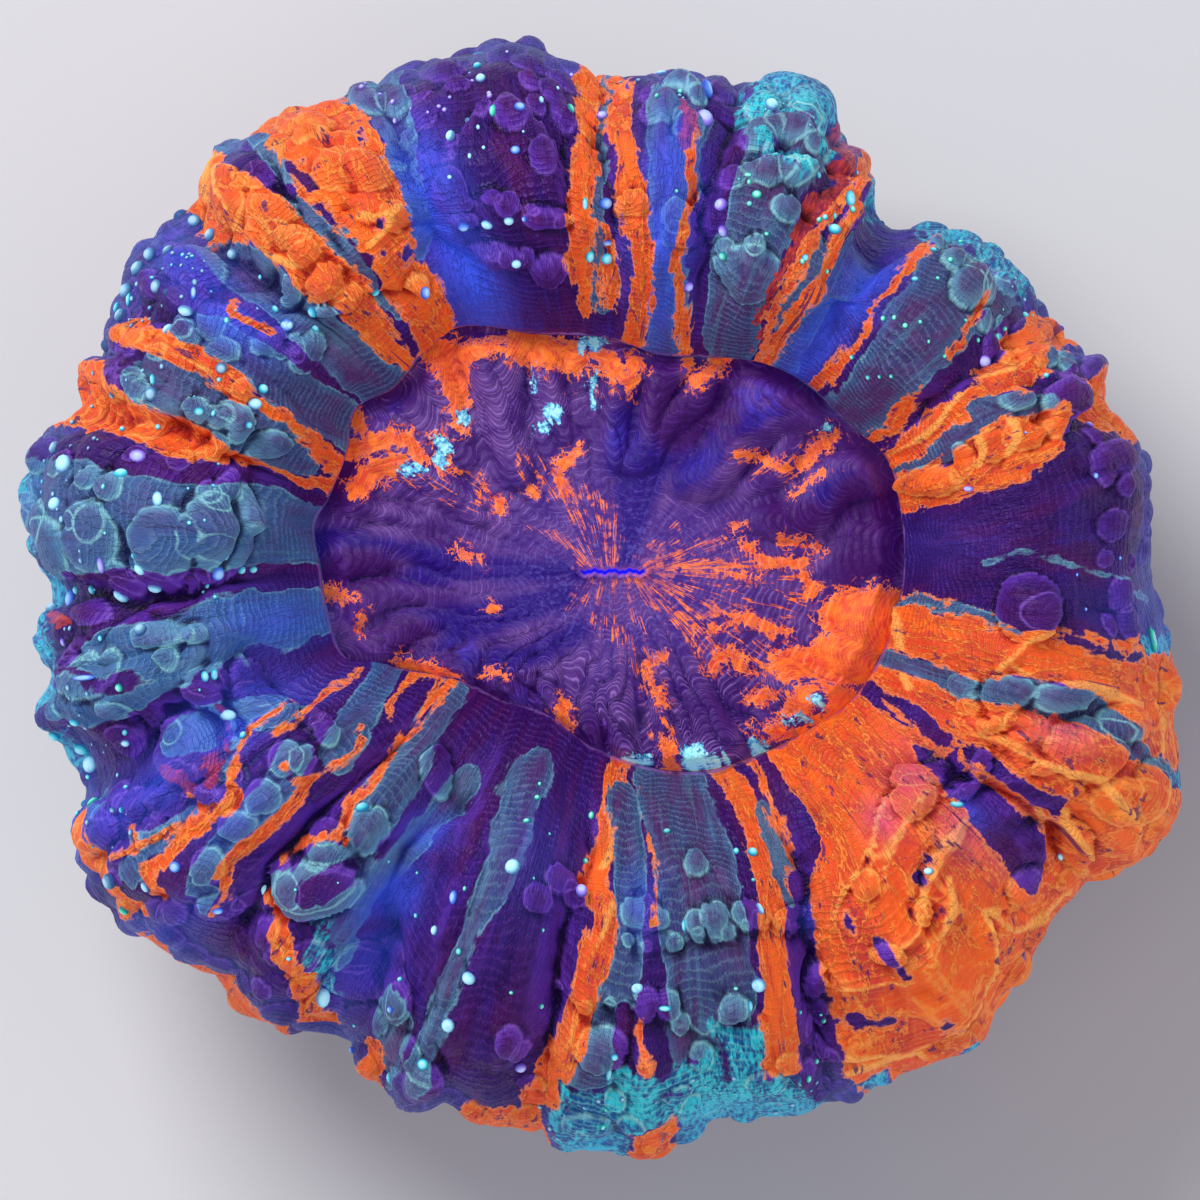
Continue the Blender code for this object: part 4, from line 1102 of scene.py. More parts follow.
class BandPaint(Paint):
    """Paint laid in bands along the flow, by bearing and share of the way out."""

    def __init__(self, plan, kinds, bearings, share, mm_per_share, mm_per_degree):
        super().__init__(plan, kinds)
        self.bearings, self.share = bearings, share
        self.mm_per_share, self.mm_per_degree = mm_per_share, mm_per_degree

    def away(self, centre):
        return np.abs(apart(self.bearings, centre)) * self.mm_per_degree

    def band(self, kind, stops):
        """Stops are share, bearing and half width in mm."""
        shares, centres, widths = zip(*stops)
        centre = open_curve(list(zip(shares, centres)), self.share) if len(stops) > 2 \
            else np.interp(self.share, shares, centres)
        width = np.interp(self.share, shares, widths)
        before = FAR if shares[0] <= 0.0 else (self.share - shares[0]) * self.mm_per_share
        after = FAR if shares[-1] >= 1.0 else (shares[-1] - self.share) * self.mm_per_share
        ends = np.minimum(before, after)
        width = width * np.sqrt(np.clip(ends / (1.4 * width), 0, 1))      # rounded ends
        self.cover(kind, np.minimum(width - self.away(centre), ends))

    def patch(self, kind, first, last, inner, outer):
        """A patch between two bearings and two shares."""
        half = (last - first) / 2 * self.mm_per_degree
        out_way = self.share - inner if outer >= 1 else np.minimum(self.share - inner, outer - self.share)
        self.cover(kind, np.minimum(half - self.away((first + last) / 2), out_way * self.mm_per_share))


shift = (0.75 * wander_x + 0.35 * fine_wander) * (1 + 0.9 * ramp(share, 0.8, 1.1)) / mm_per_degree
bent_plan = Plan(plan.across + 0.3 * wander_x + 0.15 * fine_wander, plan.up + 0.3 * wander_y,
                 plan.seen & (share < 0.975))
paint = BandPaint(bent_plan, ("plum", "slate", "orange", "red", "aqua"), bearing + shift,
                  share + 0.02 * wander_y, rim - lip + 8.0, mm_per_degree)
paint.fields["plum"][:] = Paint.LIMIT        # plum lies under all the others
# Bands run outwards from the lip (share 0) to the rim (share 1), and each stop gives
# share, bearing and half width in mm.  Patches are first and last bearing, inner and
# outer share.
BANDS = [
    # right side, from the plum lobe up to the notch at 52 degrees
    ("orange", [(0, 15.5, 1.2), (0.25, 17.5, 2.0), (0.5, 18, 2.3), (0.66, 17, 1.6)]),
    ("slate", [(0, 20, 0.7), (0.3, 22, 0.9), (0.56, 23, 0.8)]),
    ("orange", [(0, 22.5, 0.9), (0.2, 24.5, 1.0), (0.5, 26.5, 1.2), (0.82, 27, 1.1)]),
    ("orange", [(0.5, 21, 1.6), (0.62, 20.5, 2.0), (0.72, 19.5, 1.8)]),
    ("plum", [(0, 26, 0.5), (0.3, 27.5, 0.6), (0.62, 30, 0.5)]),
    ("orange", [(0, 29, 0.9), (0.15, 30, 0.9), (0.36, 33, 0.2)]),
    ("slate", [(0, 33.5, 1.6), (0.3, 36, 2.2), (0.6, 38.5, 2.9), (1, 40, 4.2)]),
    ("orange", [(0.5, 33, 0.22), (0.65, 34, 0.22), (0.82, 36, 0.25)]),
    ("orange", [(0, 41.5, 0.35), (0.25, 44, 0.4), (0.5, 46, 0.4), (0.95, 47, 0.4)]),
    ("plum", [(0, 45.5, 0.9), (0.3, 47.5, 1.2), (0.6, 49, 1.2), (1, 50.5, 0.8)]),
    ("slate", [(0, 50.5, 0.9), (0.4, 51.5, 0.9), (0.8, 52.5, 0.7)]),
    ("orange", [(0, 54, 0.5), (0.3, 54.5, 0.7), (0.62, 55.5, 0.5), (0.82, 57, 0.4)]),
    ("slate", [(0.1, 56, 0.4), (0.6, 57.5, 0.5)]),
    ("red", [(0, 57, 0.7), (0.3, 60, 0.7), (0.5, 60.5, 0.6), (0.82, 60, 0.6)]),
    ("orange", [(0, 56.5, 0.25), (0.4, 58.8, 0.3), (0.8, 58.5, 0.3)]),
    # top, between the notch and the orange lobes
    ("slate", [(0, 65, 2.1), (0.3, 68, 2.6), (0.6, 68.5, 2.9), (1, 69.5, 3.6)]),
    ("plum", [(0, 69.5, 0.9), (0.2, 74.6, 1.0), (0.5, 73.8, 0.9), (0.75, 74.7, 1.1), (1, 76.7, 1.4)]),
    ("slate", [(0.0, 77, 1.4), (0.3, 80.5, 1.5), (0.7, 81, 2.0), (0.95, 82, 2.6)]),
    ("orange", [(0, 71.5, 0.3), (0.1, 75, 0.3), (0.25, 77.5, 0.3), (0.5, 77.6, 0.3), (0.75, 79, 0.35)]),
    ("red", [(0.68, 79.6, 0.5), (0.76, 80, 0.6), (0.84, 80.5, 0.3)]),
    ("orange", [(0, 84, 0.6), (0.25, 85.5, 0.8), (0.5, 87.5, 0.9), (0.75, 89, 0.8), (1, 90, 0.9)]),
    ("plum", [(0.1, 89, 0.5), (0.4, 90, 0.6), (0.75, 90.8, 0.4)]),
    ("slate", [(0.05, 92.5, 0.8), (0.5, 92.6, 0.6), (1, 91, 0.5)]),
    ("orange", [(0.05, 95.8, 0.5), (0.25, 96.5, 0.7), (0.5, 95, 0.8), (0.75, 93.2, 0.7), (1, 92.5, 0.8)]),
    ("orange", [(0.06, 91.5, 0.35), (0.4, 91.8, 0.3)]),
    # upper left: plum lobe, grey stripe, two broad orange lobes
    ("slate", [(0.2, 121, 1.0), (0.5, 119.8, 1.3), (0.75, 117.6, 1.8), (1, 116.5, 2.3)]),
    ("orange", [(0, 127, 1.5), (0.25, 125.6, 1.5), (0.5, 124.6, 2.4), (0.8, 124.5, 3.2), (1, 124.5, 3.2)]),
    ("orange", [(0, 136, 0.8), (0.2, 134.8, 1.3), (0.5, 135, 2.1), (0.8, 135.6, 2.7), (1, 135.5, 2.9)]),
    ("slate", [(0.1, 130.8, 0.3), (0.5, 130.4, 0.5), (0.8, 130.5, 0.8), (1, 131.5, 1.0)]),
    ("slate", [(0, 141, 1.5), (0.35, 140.6, 1.6), (0.7, 140.4, 1.2), (0.9, 141, 0.7)]),
    ("slate", [(0, 151, 1.5), (0.4, 150.6, 1.7), (0.76, 150, 1.3)]),
    ("orange", [(0, 159, 0.6), (0.1, 157, 0.7), (0.35, 155, 0.9), (0.6, 153, 0.9), (0.95, 153.7, 1.0)]),
    ("slate", [(0.05, 161, 1.4), (0.4, 159.4, 2.2), (0.8, 157.4, 1.8)]),
    ("orange", [(0, 163, 0.7), (0.1, 165.4, 0.9), (0.3, 164, 1.2), (0.55, 163, 1.3), (0.75, 162.4, 1.4),
                (0.95, 160.5, 1.6)]),
    # left: plum, then the grey-teal blisters
    ("plum", [(0, 167, 0.8), (0.4, 167.3, 1.4), (0.8, 166.6, 1.6), (1, 166.4, 1.4)]),
    ("slate", [(0, 174, 2.2), (0.3, 174.5, 3.0), (0.6, 174.5, 3.3), (1, 175, 4.2)]),
    ("plum", [(0, 181.5, 1.2), (0.4, 182.3, 1.2), (0.8, 182.6, 1.5), (1, 183.4, 1.3)]),
    ("slate", [(0, 188.5, 1.7), (0.4, 189.2, 2.2), (0.86, 190, 2.0)]),
    ("plum", [(0, 197, 1.6), (0.4, 199, 2.2), (0.8, 200.5, 2.6), (1, 202, 2.6)]),
    ("slate", [(0.45, 193.6, 0.5), (0.7, 195.6, 0.6), (0.95, 193.5, 1.6)]),
    ("slate", [(0.2, 200.5, 0.8), (0.5, 201.4, 1.6), (0.7, 201.6, 0.6)]),
    # lower left
    ("slate", [(0.12, 231, 0.7), (0.4, 233.4, 1.0), (0.65, 233.6, 1.1), (0.84, 236, 1.1)]),
    ("slate", [(0.05, 247, 1.6), (0.2, 248, 1.3), (0.35, 248.8, 1.2), (0.5, 248.6, 0.5), (0.75, 248.7, 0.8),
               (0.92, 248.6, 0.9)]),
    ("slate", [(0.78, 243, 0.8), (0.88, 244, 1.5), (0.98, 246, 1.2)]),
    # bottom
    ("orange", [(0, 272, 0.5), (0.2, 269, 0.7), (0.3, 267, 0.8), (0.4, 268.4, 0.8), (0.6, 266, 1.0),
                (0.8, 263.5, 1.1), (0.96, 262, 1.2)]),
    ("slate", [(0.04, 273.6, 0.9), (0.4, 272.6, 1.0), (0.6, 270.4, 1.0), (0.8, 268, 1.6), (0.95, 267, 1.2)]),
    ("plum", [(0.6, 271.6, 0.6), (0.9, 271.2, 0.7)]),
    ("orange", [(0, 280.4, 0.35), (0.15, 278.4, 0.35), (0.25, 278.6, 0.35), (0.42, 277, 0.4)]),
    ("orange", [(0.62, 273.6, 0.25), (0.86, 273, 0.3)]),
    ("slate", [(0, 285.5, 2.0), (0.3, 284.8, 2.6), (0.6, 282.5, 2.8), (0.85, 280.5, 3.0)]),
    ("orange", [(0, 298, 0.7), (0.1, 299.3, 0.8), (0.25, 297.2, 0.9), (0.35, 295.8, 0.9), (0.5, 292.6, 1.0),
                (0.7, 290.2, 1.2), (0.96, 288, 1.3)]),
    ("slate", [(0.06, 303, 0.6), (0.25, 300.4, 0.7), (0.42, 298, 0.5)]),
    # lower right: the largest orange lobe, a plum furrow, and orange up to the plum lobe
    ("orange", [(0, 320, 4.2), (0.25, 318, 6.2), (0.5, 315.5, 8.0), (0.75, 313.5, 9.4), (1, 311.5, 10.8)]),
    ("plum", [(0, 309.5, 0.8), (0.15, 306, 0.9), (0.3, 302.6, 0.8), (0.45, 300, 0.7), (0.6, 297, 0.7),
              (0.75, 294.5, 0.7), (0.92, 292.3, 0.6)]),
    ("orange", [(0, 344, 5.2), (0.4, 342.8, 5.0), (0.75, 342.5, 5.4), (1, 343, 6.6)]),
    ("orange", [(0.7, 333, 4.0), (1, 332, 4.6)]),
    ("slate", [(0, 354.2, 0.35), (0.3, 352.7, 0.45), (0.42, 351.8, 0.3)]),
    ("plum", [(0.52, 351.4, 0.35), (0.66, 350.8, 0.4), (0.88, 350.6, 0.35)]),
    ("plum", [(0, 360, 1.4), (0.3, 358, 2.0), (0.5, 357.2, 2.4), (0.8, 358, 2.2), (1, 359, 2.0)]),
]
PATCHES = [
    ("orange", 15, 22, 0.84, 1.1), ("orange", 26, 31, 0.76, 1.0), ("aqua", 33, 50, 0.93, 1.08),
    ("aqua", 53, 56.5, 0.86, 1.05), ("red", 56.5, 62, 0.84, 1.1), ("orange", 57, 59, 0.8, 1.0),
    ("aqua", 62, 74, 0.84, 1.06), ("aqua", 64, 71, 0.66, 0.76), ("orange", 158, 165, 0.86, 1.0),
    ("orange", 217, 235, 0.985, 1.04), ("orange", 254, 263, 0.95, 1.06),
    ("orange", 242, 244.4, 0.94, 1.03), ("aqua", 264, 291, 0.84, 1.04), ("aqua", 270, 283, 0.77, 0.86),
    ("aqua", 283, 288, 0.7, 0.9), ("orange", 272, 276, 0.93, 1.08), ("aqua", 339, 341.6, 0.9, 1.03),
    ("aqua", 351.2, 353.4, 0.9, 1.0), ("aqua", 296, 298, 0.98, 1.04), ("aqua", 305, 307.5, 0.98, 1.04),
    ("orange", 204, 216, 0.9, 0.97), ("aqua", 168, 200, 0.97, 1.06),
]
for kind, stops in BANDS:
    paint.band(kind, stops)
for kind, first, last, inner, outer in PATCHES:
    paint.patch(kind, first, last, inner, outer)
for kind, points, start, end in [
    # lower left: grey-teal ribbons edged with thin orange, leaning down as they run out
    ("slate", [(-19.9, -6.5), (-21.3, -7.9), (-23.9, -8.4), (-24.6, -10.2), (-25.6, -11.6)], 0.5, 0.45),
    ("slate", [(-14.7, -4.7), (-15.7, -6.4), (-17.1, -8.7), (-17.8, -9.9)], 1.0, 1.3),
    ("slate", [(-20.6, -10.2), (-21.6, -12.2), (-23.4, -13.8), (-25.8, -16.4), (-26.6, -17.9),
               (-25.8, -19.6)], 1.1, 0.7),
    ("slate", [(-10.4, -6.2), (-11.6, -7.5), (-12.4, -9.1), (-13.2, -10.8), (-14.4, -12.4)], 0.9, 1.5),
    ("slate", [(-14.4, -12.4), (-15.4, -14), (-16.6, -15.8), (-17.4, -17.5)], 1.5, 1.4),
    ("slate", [(-27.4, -13.9), (-29.7, -15.2), (-31.4, -15.7)], 0.5, 0.3),
    ("slate", [(-27.5, -14.8), (-29.3, -16.1), (-31.2, -17.6)], 0.5, 0.9),
    ("slate", [(-17.6, -17.2), (-19.4, -18.8), (-21.2, -19.2)], 2.0, 1.3),
    ("slate", [(-17.2, -20.2), (-18.0, -22.4), (-18.4, -25.6)], 1.3, 0.6),
    ("plum", [(-17.4, -18.0), (-19.4, -18.8)], 1.0, 0.9),
    ("slate", [(-34.0, -13.2), (-33.6, -13.9)], 0.7, 0.5),
    ("orange", [(-16.6, -4.7), (-18.5, -5.1), (-19.5, -5.9), (-20.6, -6.3)], 0.10, 0.4),
    ("orange", [(-18.9, -6.1), (-19.5, -7.1), (-20.5, -8.1), (-21.7, -8.7)], 0.12, 0.22),
    ("orange", [(-20.8, -6.5), (-22.2, -7.6), (-23.2, -8.2), (-23.9, -9.3), (-24.4, -10.6),
                (-24.9, -11.7)], 0.12, 0.22),
    ("red", [(-26.1, -6.9), (-25.5, -8.2), (-25.3, -9.4), (-26.1, -11.6)], 0.12, 0.5),
    ("red", [(-28.9, -11.2), (-27.6, -11.9)], 0.5, 0.6),
    ("orange", [(-24.8, -11.9), (-24.2, -12.7), (-25.0, -13.4), (-26.6, -13.9)], 0.3, 0.4),
    ("orange", [(-26.6, -13.9), (-28.3, -14.6), (-30.6, -15.9), (-32.6, -16.9)], 0.16, 0.2),
    ("orange", [(-27.6, -12.9), (-26.6, -13.6)], 0.2, 0.3),
    ("orange", [(-31.6, -15.1), (-30.9, -16.1)], 0.12, 0.2),
    ("orange", [(-26.4, -14.3), (-27.6, -15.1), (-28.6, -16.3), (-30, -17.3), (-28.9, -18.9)], 0.45, 0.4),
    ("orange", [(-18, -10.7), (-19.8, -11.9), (-20.7, -13.2)], 0.15, 0.4),
    ("orange", [(-20.7, -13.2), (-22.3, -14.8), (-24, -15.9)], 0.45, 0.6),
    ("orange", [(-24, -15.9), (-25, -17), (-24.9, -18.9), (-25.8, -20.2)], 0.35, 0.25),
    ("orange", [(-16.2, -8.1), (-16.6, -9.7), (-18.5, -10.8)], 0.12, 0.15),
    ("orange", [(-21.2, -10.8), (-20.6, -11.8), (-19.8, -11.8)], 0.15, 0.25),
    ("orange", [(-11.4, -5.2), (-12.8, -5.3), (-13.8, -6.1), (-14.2, -7.0)], 0.3, 0.1),
    ("orange", [(-10.4, -5.6), (-11.6, -6.3), (-12.4, -7.5), (-13.4, -8.1), (-13.7, -9.0),
                (-14.4, -10.3)], 0.25, 0.2),
    ("orange", [(-14.4, -10.3), (-15.6, -12.2), (-16.9, -13.2), (-17.4, -14.9)], 0.22, 0.35),
    ("orange", [(-21.6, -17.3), (-20.1, -16.4), (-18.7, -15.6), (-17.4, -15.8)], 0.25, 0.3),
    ("orange", [(-22.7, -19.8), (-21.6, -21.2), (-21, -23.6), (-20.4, -26.2), (-19.6, -28.9)], 0.4, 0.9),
    ("aqua", [(-19.2, -21.0), (-19.0, -23.4), (-18.7, -26.6)], 0.5, 0.6),
    ("aqua", [(-35.2, -13.6), (-33.6, -13.0)], 0.3, 0.3),
    # lower right: the grey ribbon and the plum furrow with its pocket
    ("slate", [(18.0, -3.9), (20.9, -4.7), (23.1, -5.8), (26.2, -5.9), (29.2, -6.6), (32, -7.3)], 0.6, 1.15),
    ("slate", [(32, -7.3), (33.7, -8.6), (35.1, -9.9), (37.4, -11)], 1.1, 0.5),
    ("orange", [(29.6, -7.6), (31.6, -8.6)], 0.2, 0.3),
    ("slate", [(24.6, 2.4), (27, 3), (29.4, 2.6), (33, 1.6), (36.4, 0.2)], 0.12, 0.15),
    ("plum", [(17.4, -6.2), (19.8, -7.6), (22.6, -9.4), (25.3, -10.6), (27.2, -12.5), (28.9, -14.2)],
              0.7, 0.35),
    ("plum", [(19.6, -8.4), (21.8, -10.2), (23.4, -11.8)], 0.6, 1.5),
    ("plum", [(23.8, -12.6), (25.6, -14.8), (28.4, -17.6)], 1.1, 1.6),
    ("orange", [(18.2, -6.9), (20.3, -8.7), (22.2, -9.0), (23.0, -10.4), (24.6, -11.6)], 0.14, 0.2),
    ("orange", [(24.6, -11.6), (26.4, -13.2), (28.2, -14.9), (29.8, -15.4)], 0.2, 0.35),
    # small strips elsewhere
    ("red", [(-37.6, -0.4), (-36.5, -1.1)], 0.5, 0.4),
    ("plum", [(-20.7, 28.2), (-19.5, 27.2)], 0.5, 0.4), ("plum", [(-18.8, 25.8), (-18.1, 25)], 0.45, 0.35),
    ("plum", [(-24.2, 29.3), (-22.6, 27.8), (-21, 27)], 1.0, 0.4),
    ("slate", [(24.4, 12.8), (28.2, 12.8)], 0.8, 0.7),
    ("plum", [(-16.4, 31), (-16, 29.6)], 0.3, 0.2), ("plum", [(-15.7, 22.7), (-15.5, 22)], 0.25, 0.2),
    ("orange", [(-24.8, 19.9), (-24.4, 18.6), (-22.7, 18), (-22.1, 17.6)], 0.18, 0.25),
    ("plum", [(17.9, -22.9), (19.6, -24.9)], 0.5, 0.3), ("plum", [(20.6, -18.4), (21.2, -16.9)], 0.4, 0.3),
    ("plum", [(17, -29.2), (19, -28.4)], 0.5, 0.3), ("plum", [(28.2, -24.4), (29.6, -23.4)], 0.5, 0.3),
]:
    paint.stroke(kind, points, start, end)
for kind, x, y, half_x, half_y in [
    ("plum", -20, 28.8, 0.3, 0.25), ("slate", -17.2, 24.5, 0.35, 0.3), ("slate", -16.5, 23.7, 0.3, 0.25),
    ("plum", -14.7, 22.8, 0.3, 0.3), ("plum", -14.9, 24.8, 0.2, 0.25), ("plum", -13, 22.2, 0.4, 0.7),
    ("slate", 30, 16, 1.2, 0.9), ("plum", 16, -21.6, 0.4, 0.7),
    ("plum", 22.6, -28.2, 0.7, 0.4), ("plum", 32.6, -20.6, 0.6, 0.5),
]:
    paint.oval(kind, x, y, half_x, half_y)

# Soft violet-blue light that shows through the skin: bearing, share, reach in mm, strength.
HAZE = [
    (117, 0.12, 2.0, 1.0), (117, 0.35, 2.1, 1.0), (115.5, 0.6, 2.2, 1.0), (81.5, 0.35, 2.0, 1.0),
    (82, 0.6, 2.0, 0.8), (80, 0.15, 1.6, 0.7), (47.5, 0.1, 1.4, 0.9), (48, 0.35, 1.6, 1.0),
    (49, 0.6, 1.6, 0.9), (234.4, 0.35, 1.5, 0.6), (236, 0.6, 1.8, 0.85), (238, 0.8, 1.6, 0.5),
    (146, 0.55, 2.0, 0.8), (144.5, 0.8, 1.8, 0.7), (198, 0.25, 1.9, 0.55), (202, 0.5, 2.2, 0.6),
    (205, 0.72, 2.2, 0.6), (206, 0.9, 2.2, 0.55), (5, 0.1, 2.0, 0.15), (275, 0.35, 1.4, 0.4),
    (324.3, 0.48, 1.2, 0.8), (300, 0.5, 1.0, 0.4), (219, 0.9, 2, 0.4), (255, 0.3, 2.4, 0.2),
    (212, 0.6, 2.0, 0.35), (189, 0.15, 2.0, 0.5), (355, 0.9, 2.2, 0.25),
]
haze = np.zeros_like(distance)
for at, way, reach, strength in HAZE:
    gap = np.hypot(apart(bearing, at) * mm_per_degree, (share - way) * (rim - lip) * 0.55)
    haze = np.maximum(haze, strength * np.exp(-(gap / reach) ** 2))

blush = np.zeros_like(distance)
for x, y, reach_mm in [(20, -11, 2.4), (24, -15, 2.2), (27, -16.4, 2.0), (18, -14, 1.6), (30, -8, 2.0)]:
    blush = np.maximum(blush, np.exp(-(plan.oval(x, y, reach_mm, reach_mm)) ** 2))

# How far the growth of the skin leans from straight outwards, in degrees, by bearing.
LEAN = [(0, -2), (30, -5), (50, -4), (60, -3), (75, -3), (90, -2), (110, 1), (135, 0), (155, 3), (165, 3),
        (180, -1), (200, -5), (215, -11), (230, -10), (248, -1), (265, 6), (280, 6), (300, 14), (318, 6),
        (330, 6), (345, 0), (355, -1)]
leaned = bearing + round_curve(LEAN, bearing) * np.clip(share, 0, 1.2)
GROWTH_STEP = 0.28      # mm to a unit of growth; a growth line comes every 1.6 units
mantle.marks = dict(
    paint.fields, haze=haze, blush=blush, ledge=ledge_mm, ridge=ridge_mm, cavity=cavity, tilt=tilt,
    depth=depth, share=share, lip=np.where(seen, out_mm, BEYOND), flow=flow_vector(leaned, out_mm, 28.0),
    fold=np.maximum(wrinkles, 0.9 * cross_wrinkles) * ramp(crumple, 0.15, 0.4),
    growth=out_mm / GROWTH_STEP + 3.0 * wander + 2.6 * (swell + 1.4 * blister_field),
    blue_side=np.exp(-(apart(bearing, 188) / 24) ** 2))
for k, field in enumerate(bubble_mm):
    mantle.marks["bubble_%d" % k] = field

t = Tissue("mantle_tissue")
flow = t.mark("flow", vector=True)
coarse = t.grain(flow, (0.5, 0.5, 0.16))
cloud = t.grain(flow, (0.35, 0.35, 0.3), 2.0)
streak = t.grain(flow, (1.4, 1.4, 0.7), 3.0, 0.55)
stripe = t.grain(flow, (1.5, 1.5, 0.07), 2.0, 0.6)
teeth = t.grain(flow, (0.9, 0.9, 2.4), 3.0, 0.6)
fine = t.grain(flow, (4.0, 4.0, 2.0), 2.0, 0.5)
crinkle = t.grain(flow, (0.62, 0.62, 0.24), 4.0, 0.55)
small_crinkle = t.grain(flow, (1.5, 1.5, 0.8), 3.0, 0.6)
ragged = t.total((1.1, streak), (0.4, fine), (0.55, teeth), (0.35, stripe))

growth_phase = t.maths("FRACT", t.total((0.62, t.mark("growth")), (0.9, fine)))
growth_line = t.both(t.mask(growth_phase, 0.0, 0.2), t.mask(growth_phase, 0.6, 0.25),
                     t.mask(cloud, -0.2, 0.08))
fibre = t.mask(t.grain(flow, (5.0, 5.0, 0.22), 2.0), 0.03, 0.16)
# Masks for painted light: highlight on steep slopes, just inside and along blister and ledge edges, and on
# raised places; shade in hollows.
steep_highlight = t.mask(t.mark("tilt"), 0.10, 0.55)
rings = [t.total(t.mark("bubble_%d" % k), (0.10, fine)) for k in range(len(bubble_mm))]
bubble = t.most(*rings)
inside_highlight = t.both(t.mask(bubble, 0.0, 0.05), t.mask(bubble, 0.45, 0.05))
edge_highlight = t.both(t.most(*[t.line(ring, 0.13, 0.01) for ring in rings]),
              t.mask(t.total(streak, coarse), -0.30, 0.05))
ledge = t.both(t.mask(t.total(t.mark("ledge"), (0.2, fine)), 0.30, 0.04), t.mask(coarse, -0.1, 0.05))
edge_highlight = t.both(t.most(edge_highlight, t.both(ledge, t.mask(streak, -0.15, 0.1))), t.mask(t.mark("share"), 1.04, 0.9))
wrinkle_line = t.most(t.line(crinkle, 0.024, 0.004),
                      t.both(t.line(small_crinkle, 0.035, 0.006), t.mask(streak, -0.08, 0.05)))
wrinkle_shade = t.between(crinkle, 0.045, 0.035)
raised_highlight = t.mask(t.mark("cavity"), -0.06, -0.5)
hollow_shade = t.mask(t.mark("cavity"), 0.05, 0.75)

# Plum skin: deep violet with redder clouds and fine violet fibres.
plum = t.blend(t.mask(coarse, -0.1, 0.2), srgb(44, 8, 88), srgb(72, 12, 84))
plum = t.coats(plum, [
    (t.mask(cloud, 0.0, 0.2), (50, 22, 128), 0.5),
    (fibre, (78, 44, 160), 0.1),
    (t.mask(stripe, 0.1, 0.17), (60, 50, 160), 0.2),
    (growth_line, (104, 46, 160), 0.24),
    # Painted highlight on raised places, steep slopes, and just inside and along blister and ledge edges.
    (raised_highlight, (92, 34, 130), 0.4),
    (steep_highlight, (110, 62, 200), 0.42),
    (inside_highlight, (104, 56, 180), 0.3),
    (edge_highlight, (150, 100, 224), 0.42),
])
# Slate skin: smooth grey-violet bodies edged with pale teal.
slate_field = t.total(t.mark("slate"), (0.5, ragged))
slate = t.blend(t.mask(cloud, -0.12, 0.12), srgb(78, 44, 102), srgb(58, 60, 114))
slate = t.coats(slate, [
    (t.mask(t.total(coarse, (0.5, streak)), 0.02, 0.2), (46, 90, 136), 0.35),
    (t.mask(slate_field, 0.8, 0.1), (58, 108, 154), 0.45),
    (t.mark("blue_side"), (42, 106, 168), 0.6),
    (t.mask(stripe, 0.09, 0.15), (66, 40, 104), 0.35),
    (t.mask(stripe, -0.09, -0.16), (70, 130, 160), 0.3),
    (growth_line, (118, 152, 180), 0.26),
    (fibre, (84, 130, 170), 0.08),
    # Painted highlight on raised places, steep slopes, and just inside and along blister and ledge edges.
    (raised_highlight, (96, 112, 158), 0.3),
    (steep_highlight, (112, 164, 196), 0.42),
    (inside_highlight, (98, 164, 196), 0.4),
    (edge_highlight, (150, 220, 226), 0.58),
])
body = t.blend(t.mask(slate_field, -0.06, 0.06), plum, slate)
slate_edge = t.both(t.line(slate_field, 0.12, 0.02), t.mask(t.total(cloud, streak), -0.25, 0.15))
body = t.blend(slate_edge, body, srgb(124, 186, 206), amount=0.5)
aqua_field = t.total(t.mark("aqua"), (2.2, ragged), (1.6, coarse))
aqua = t.blend(t.mask(t.total(coarse, fine), -0.15, 0.15), srgb(12, 84, 148), srgb(44, 206, 222))
aqua = t.coats(aqua, [
    (growth_line, (150, 240, 232), 0.3),
    # Painted highlight along blister and ledge edges.
    (edge_highlight, (170, 245, 235), 0.6),
])
body = t.blend(t.mask(aqua_field, -0.2, 0.5), body, aqua, amount=0.9)
# Orange skin: torn edges, painted yellow highlight on folds, ridges and ledges, flecked with the plum below.
red = t.blend(t.mask(fine, -0.15, 0.15), srgb(140, 36, 66), srgb(190, 58, 50))
body = t.blend(t.mask(t.total(t.mark("red"), ragged, (1.2, streak)), -0.07, 0.07), body, red)
orange_field = t.total(t.mark("orange"), ragged)
fold_highlight = t.mask(t.total(t.mark("fold"), (0.3, fine)), 0.80, 0.97)
ridge_highlight = t.mask(t.total(t.mark("ridge"), (0.25, fine)), 0.30, 0.08)
ember = t.blend(t.mask(coarse, -0.16, 0.16), srgb(216, 66, 38), srgb(246, 98, 30))
ember = t.coats(ember, [
    (t.mask(t.total(cloud, (0.6, streak)), 0.03, 0.2), (190, 52, 56), 0.6),
    (fibre, (255, 124, 40), 0.25),
    (growth_line, (255, 136, 50), 0.25),
    # Painted shade beside the wrinkles and in hollows; painted highlight on raised places, folds, steep
    # slopes, blister and ledge edges and ridges.
    (wrinkle_shade, (168, 40, 50), 0.5),
    (raised_highlight, (250, 118, 50), 0.3),
    (hollow_shade, (168, 36, 44), 0.6),
    (wrinkle_line, (255, 150, 66), 0.6),
    (fold_highlight, (255, 156, 70), 0.55),
    (steep_highlight, (255, 130, 70), 0.25),
    (inside_highlight, (255, 132, 60), 0.35),
    (edge_highlight, (255, 168, 84), 0.7),
    (ridge_highlight, (255, 172, 86), 0.85),
    (t.mark("blush"), (196, 84, 156), 0.42),
])
flecks = t.most(t.both(t.mask(streak, 0.11, 0.16), t.mask(fine, -0.04, 0.04)),
                t.both(t.mask(stripe, 0.14, 0.17), t.mask(coarse, 0.0, 0.1)))
ember = t.blend(flecks, ember, srgb(92, 34, 92), amount=0.85)
on_orange = t.mask(orange_field, -0.04, 0.05)
body = t.blend(on_orange, body, ember)
body = t.blend(t.line(orange_field, 0.14, 0.02), body, srgb(255, 138, 80), amount=0.7)
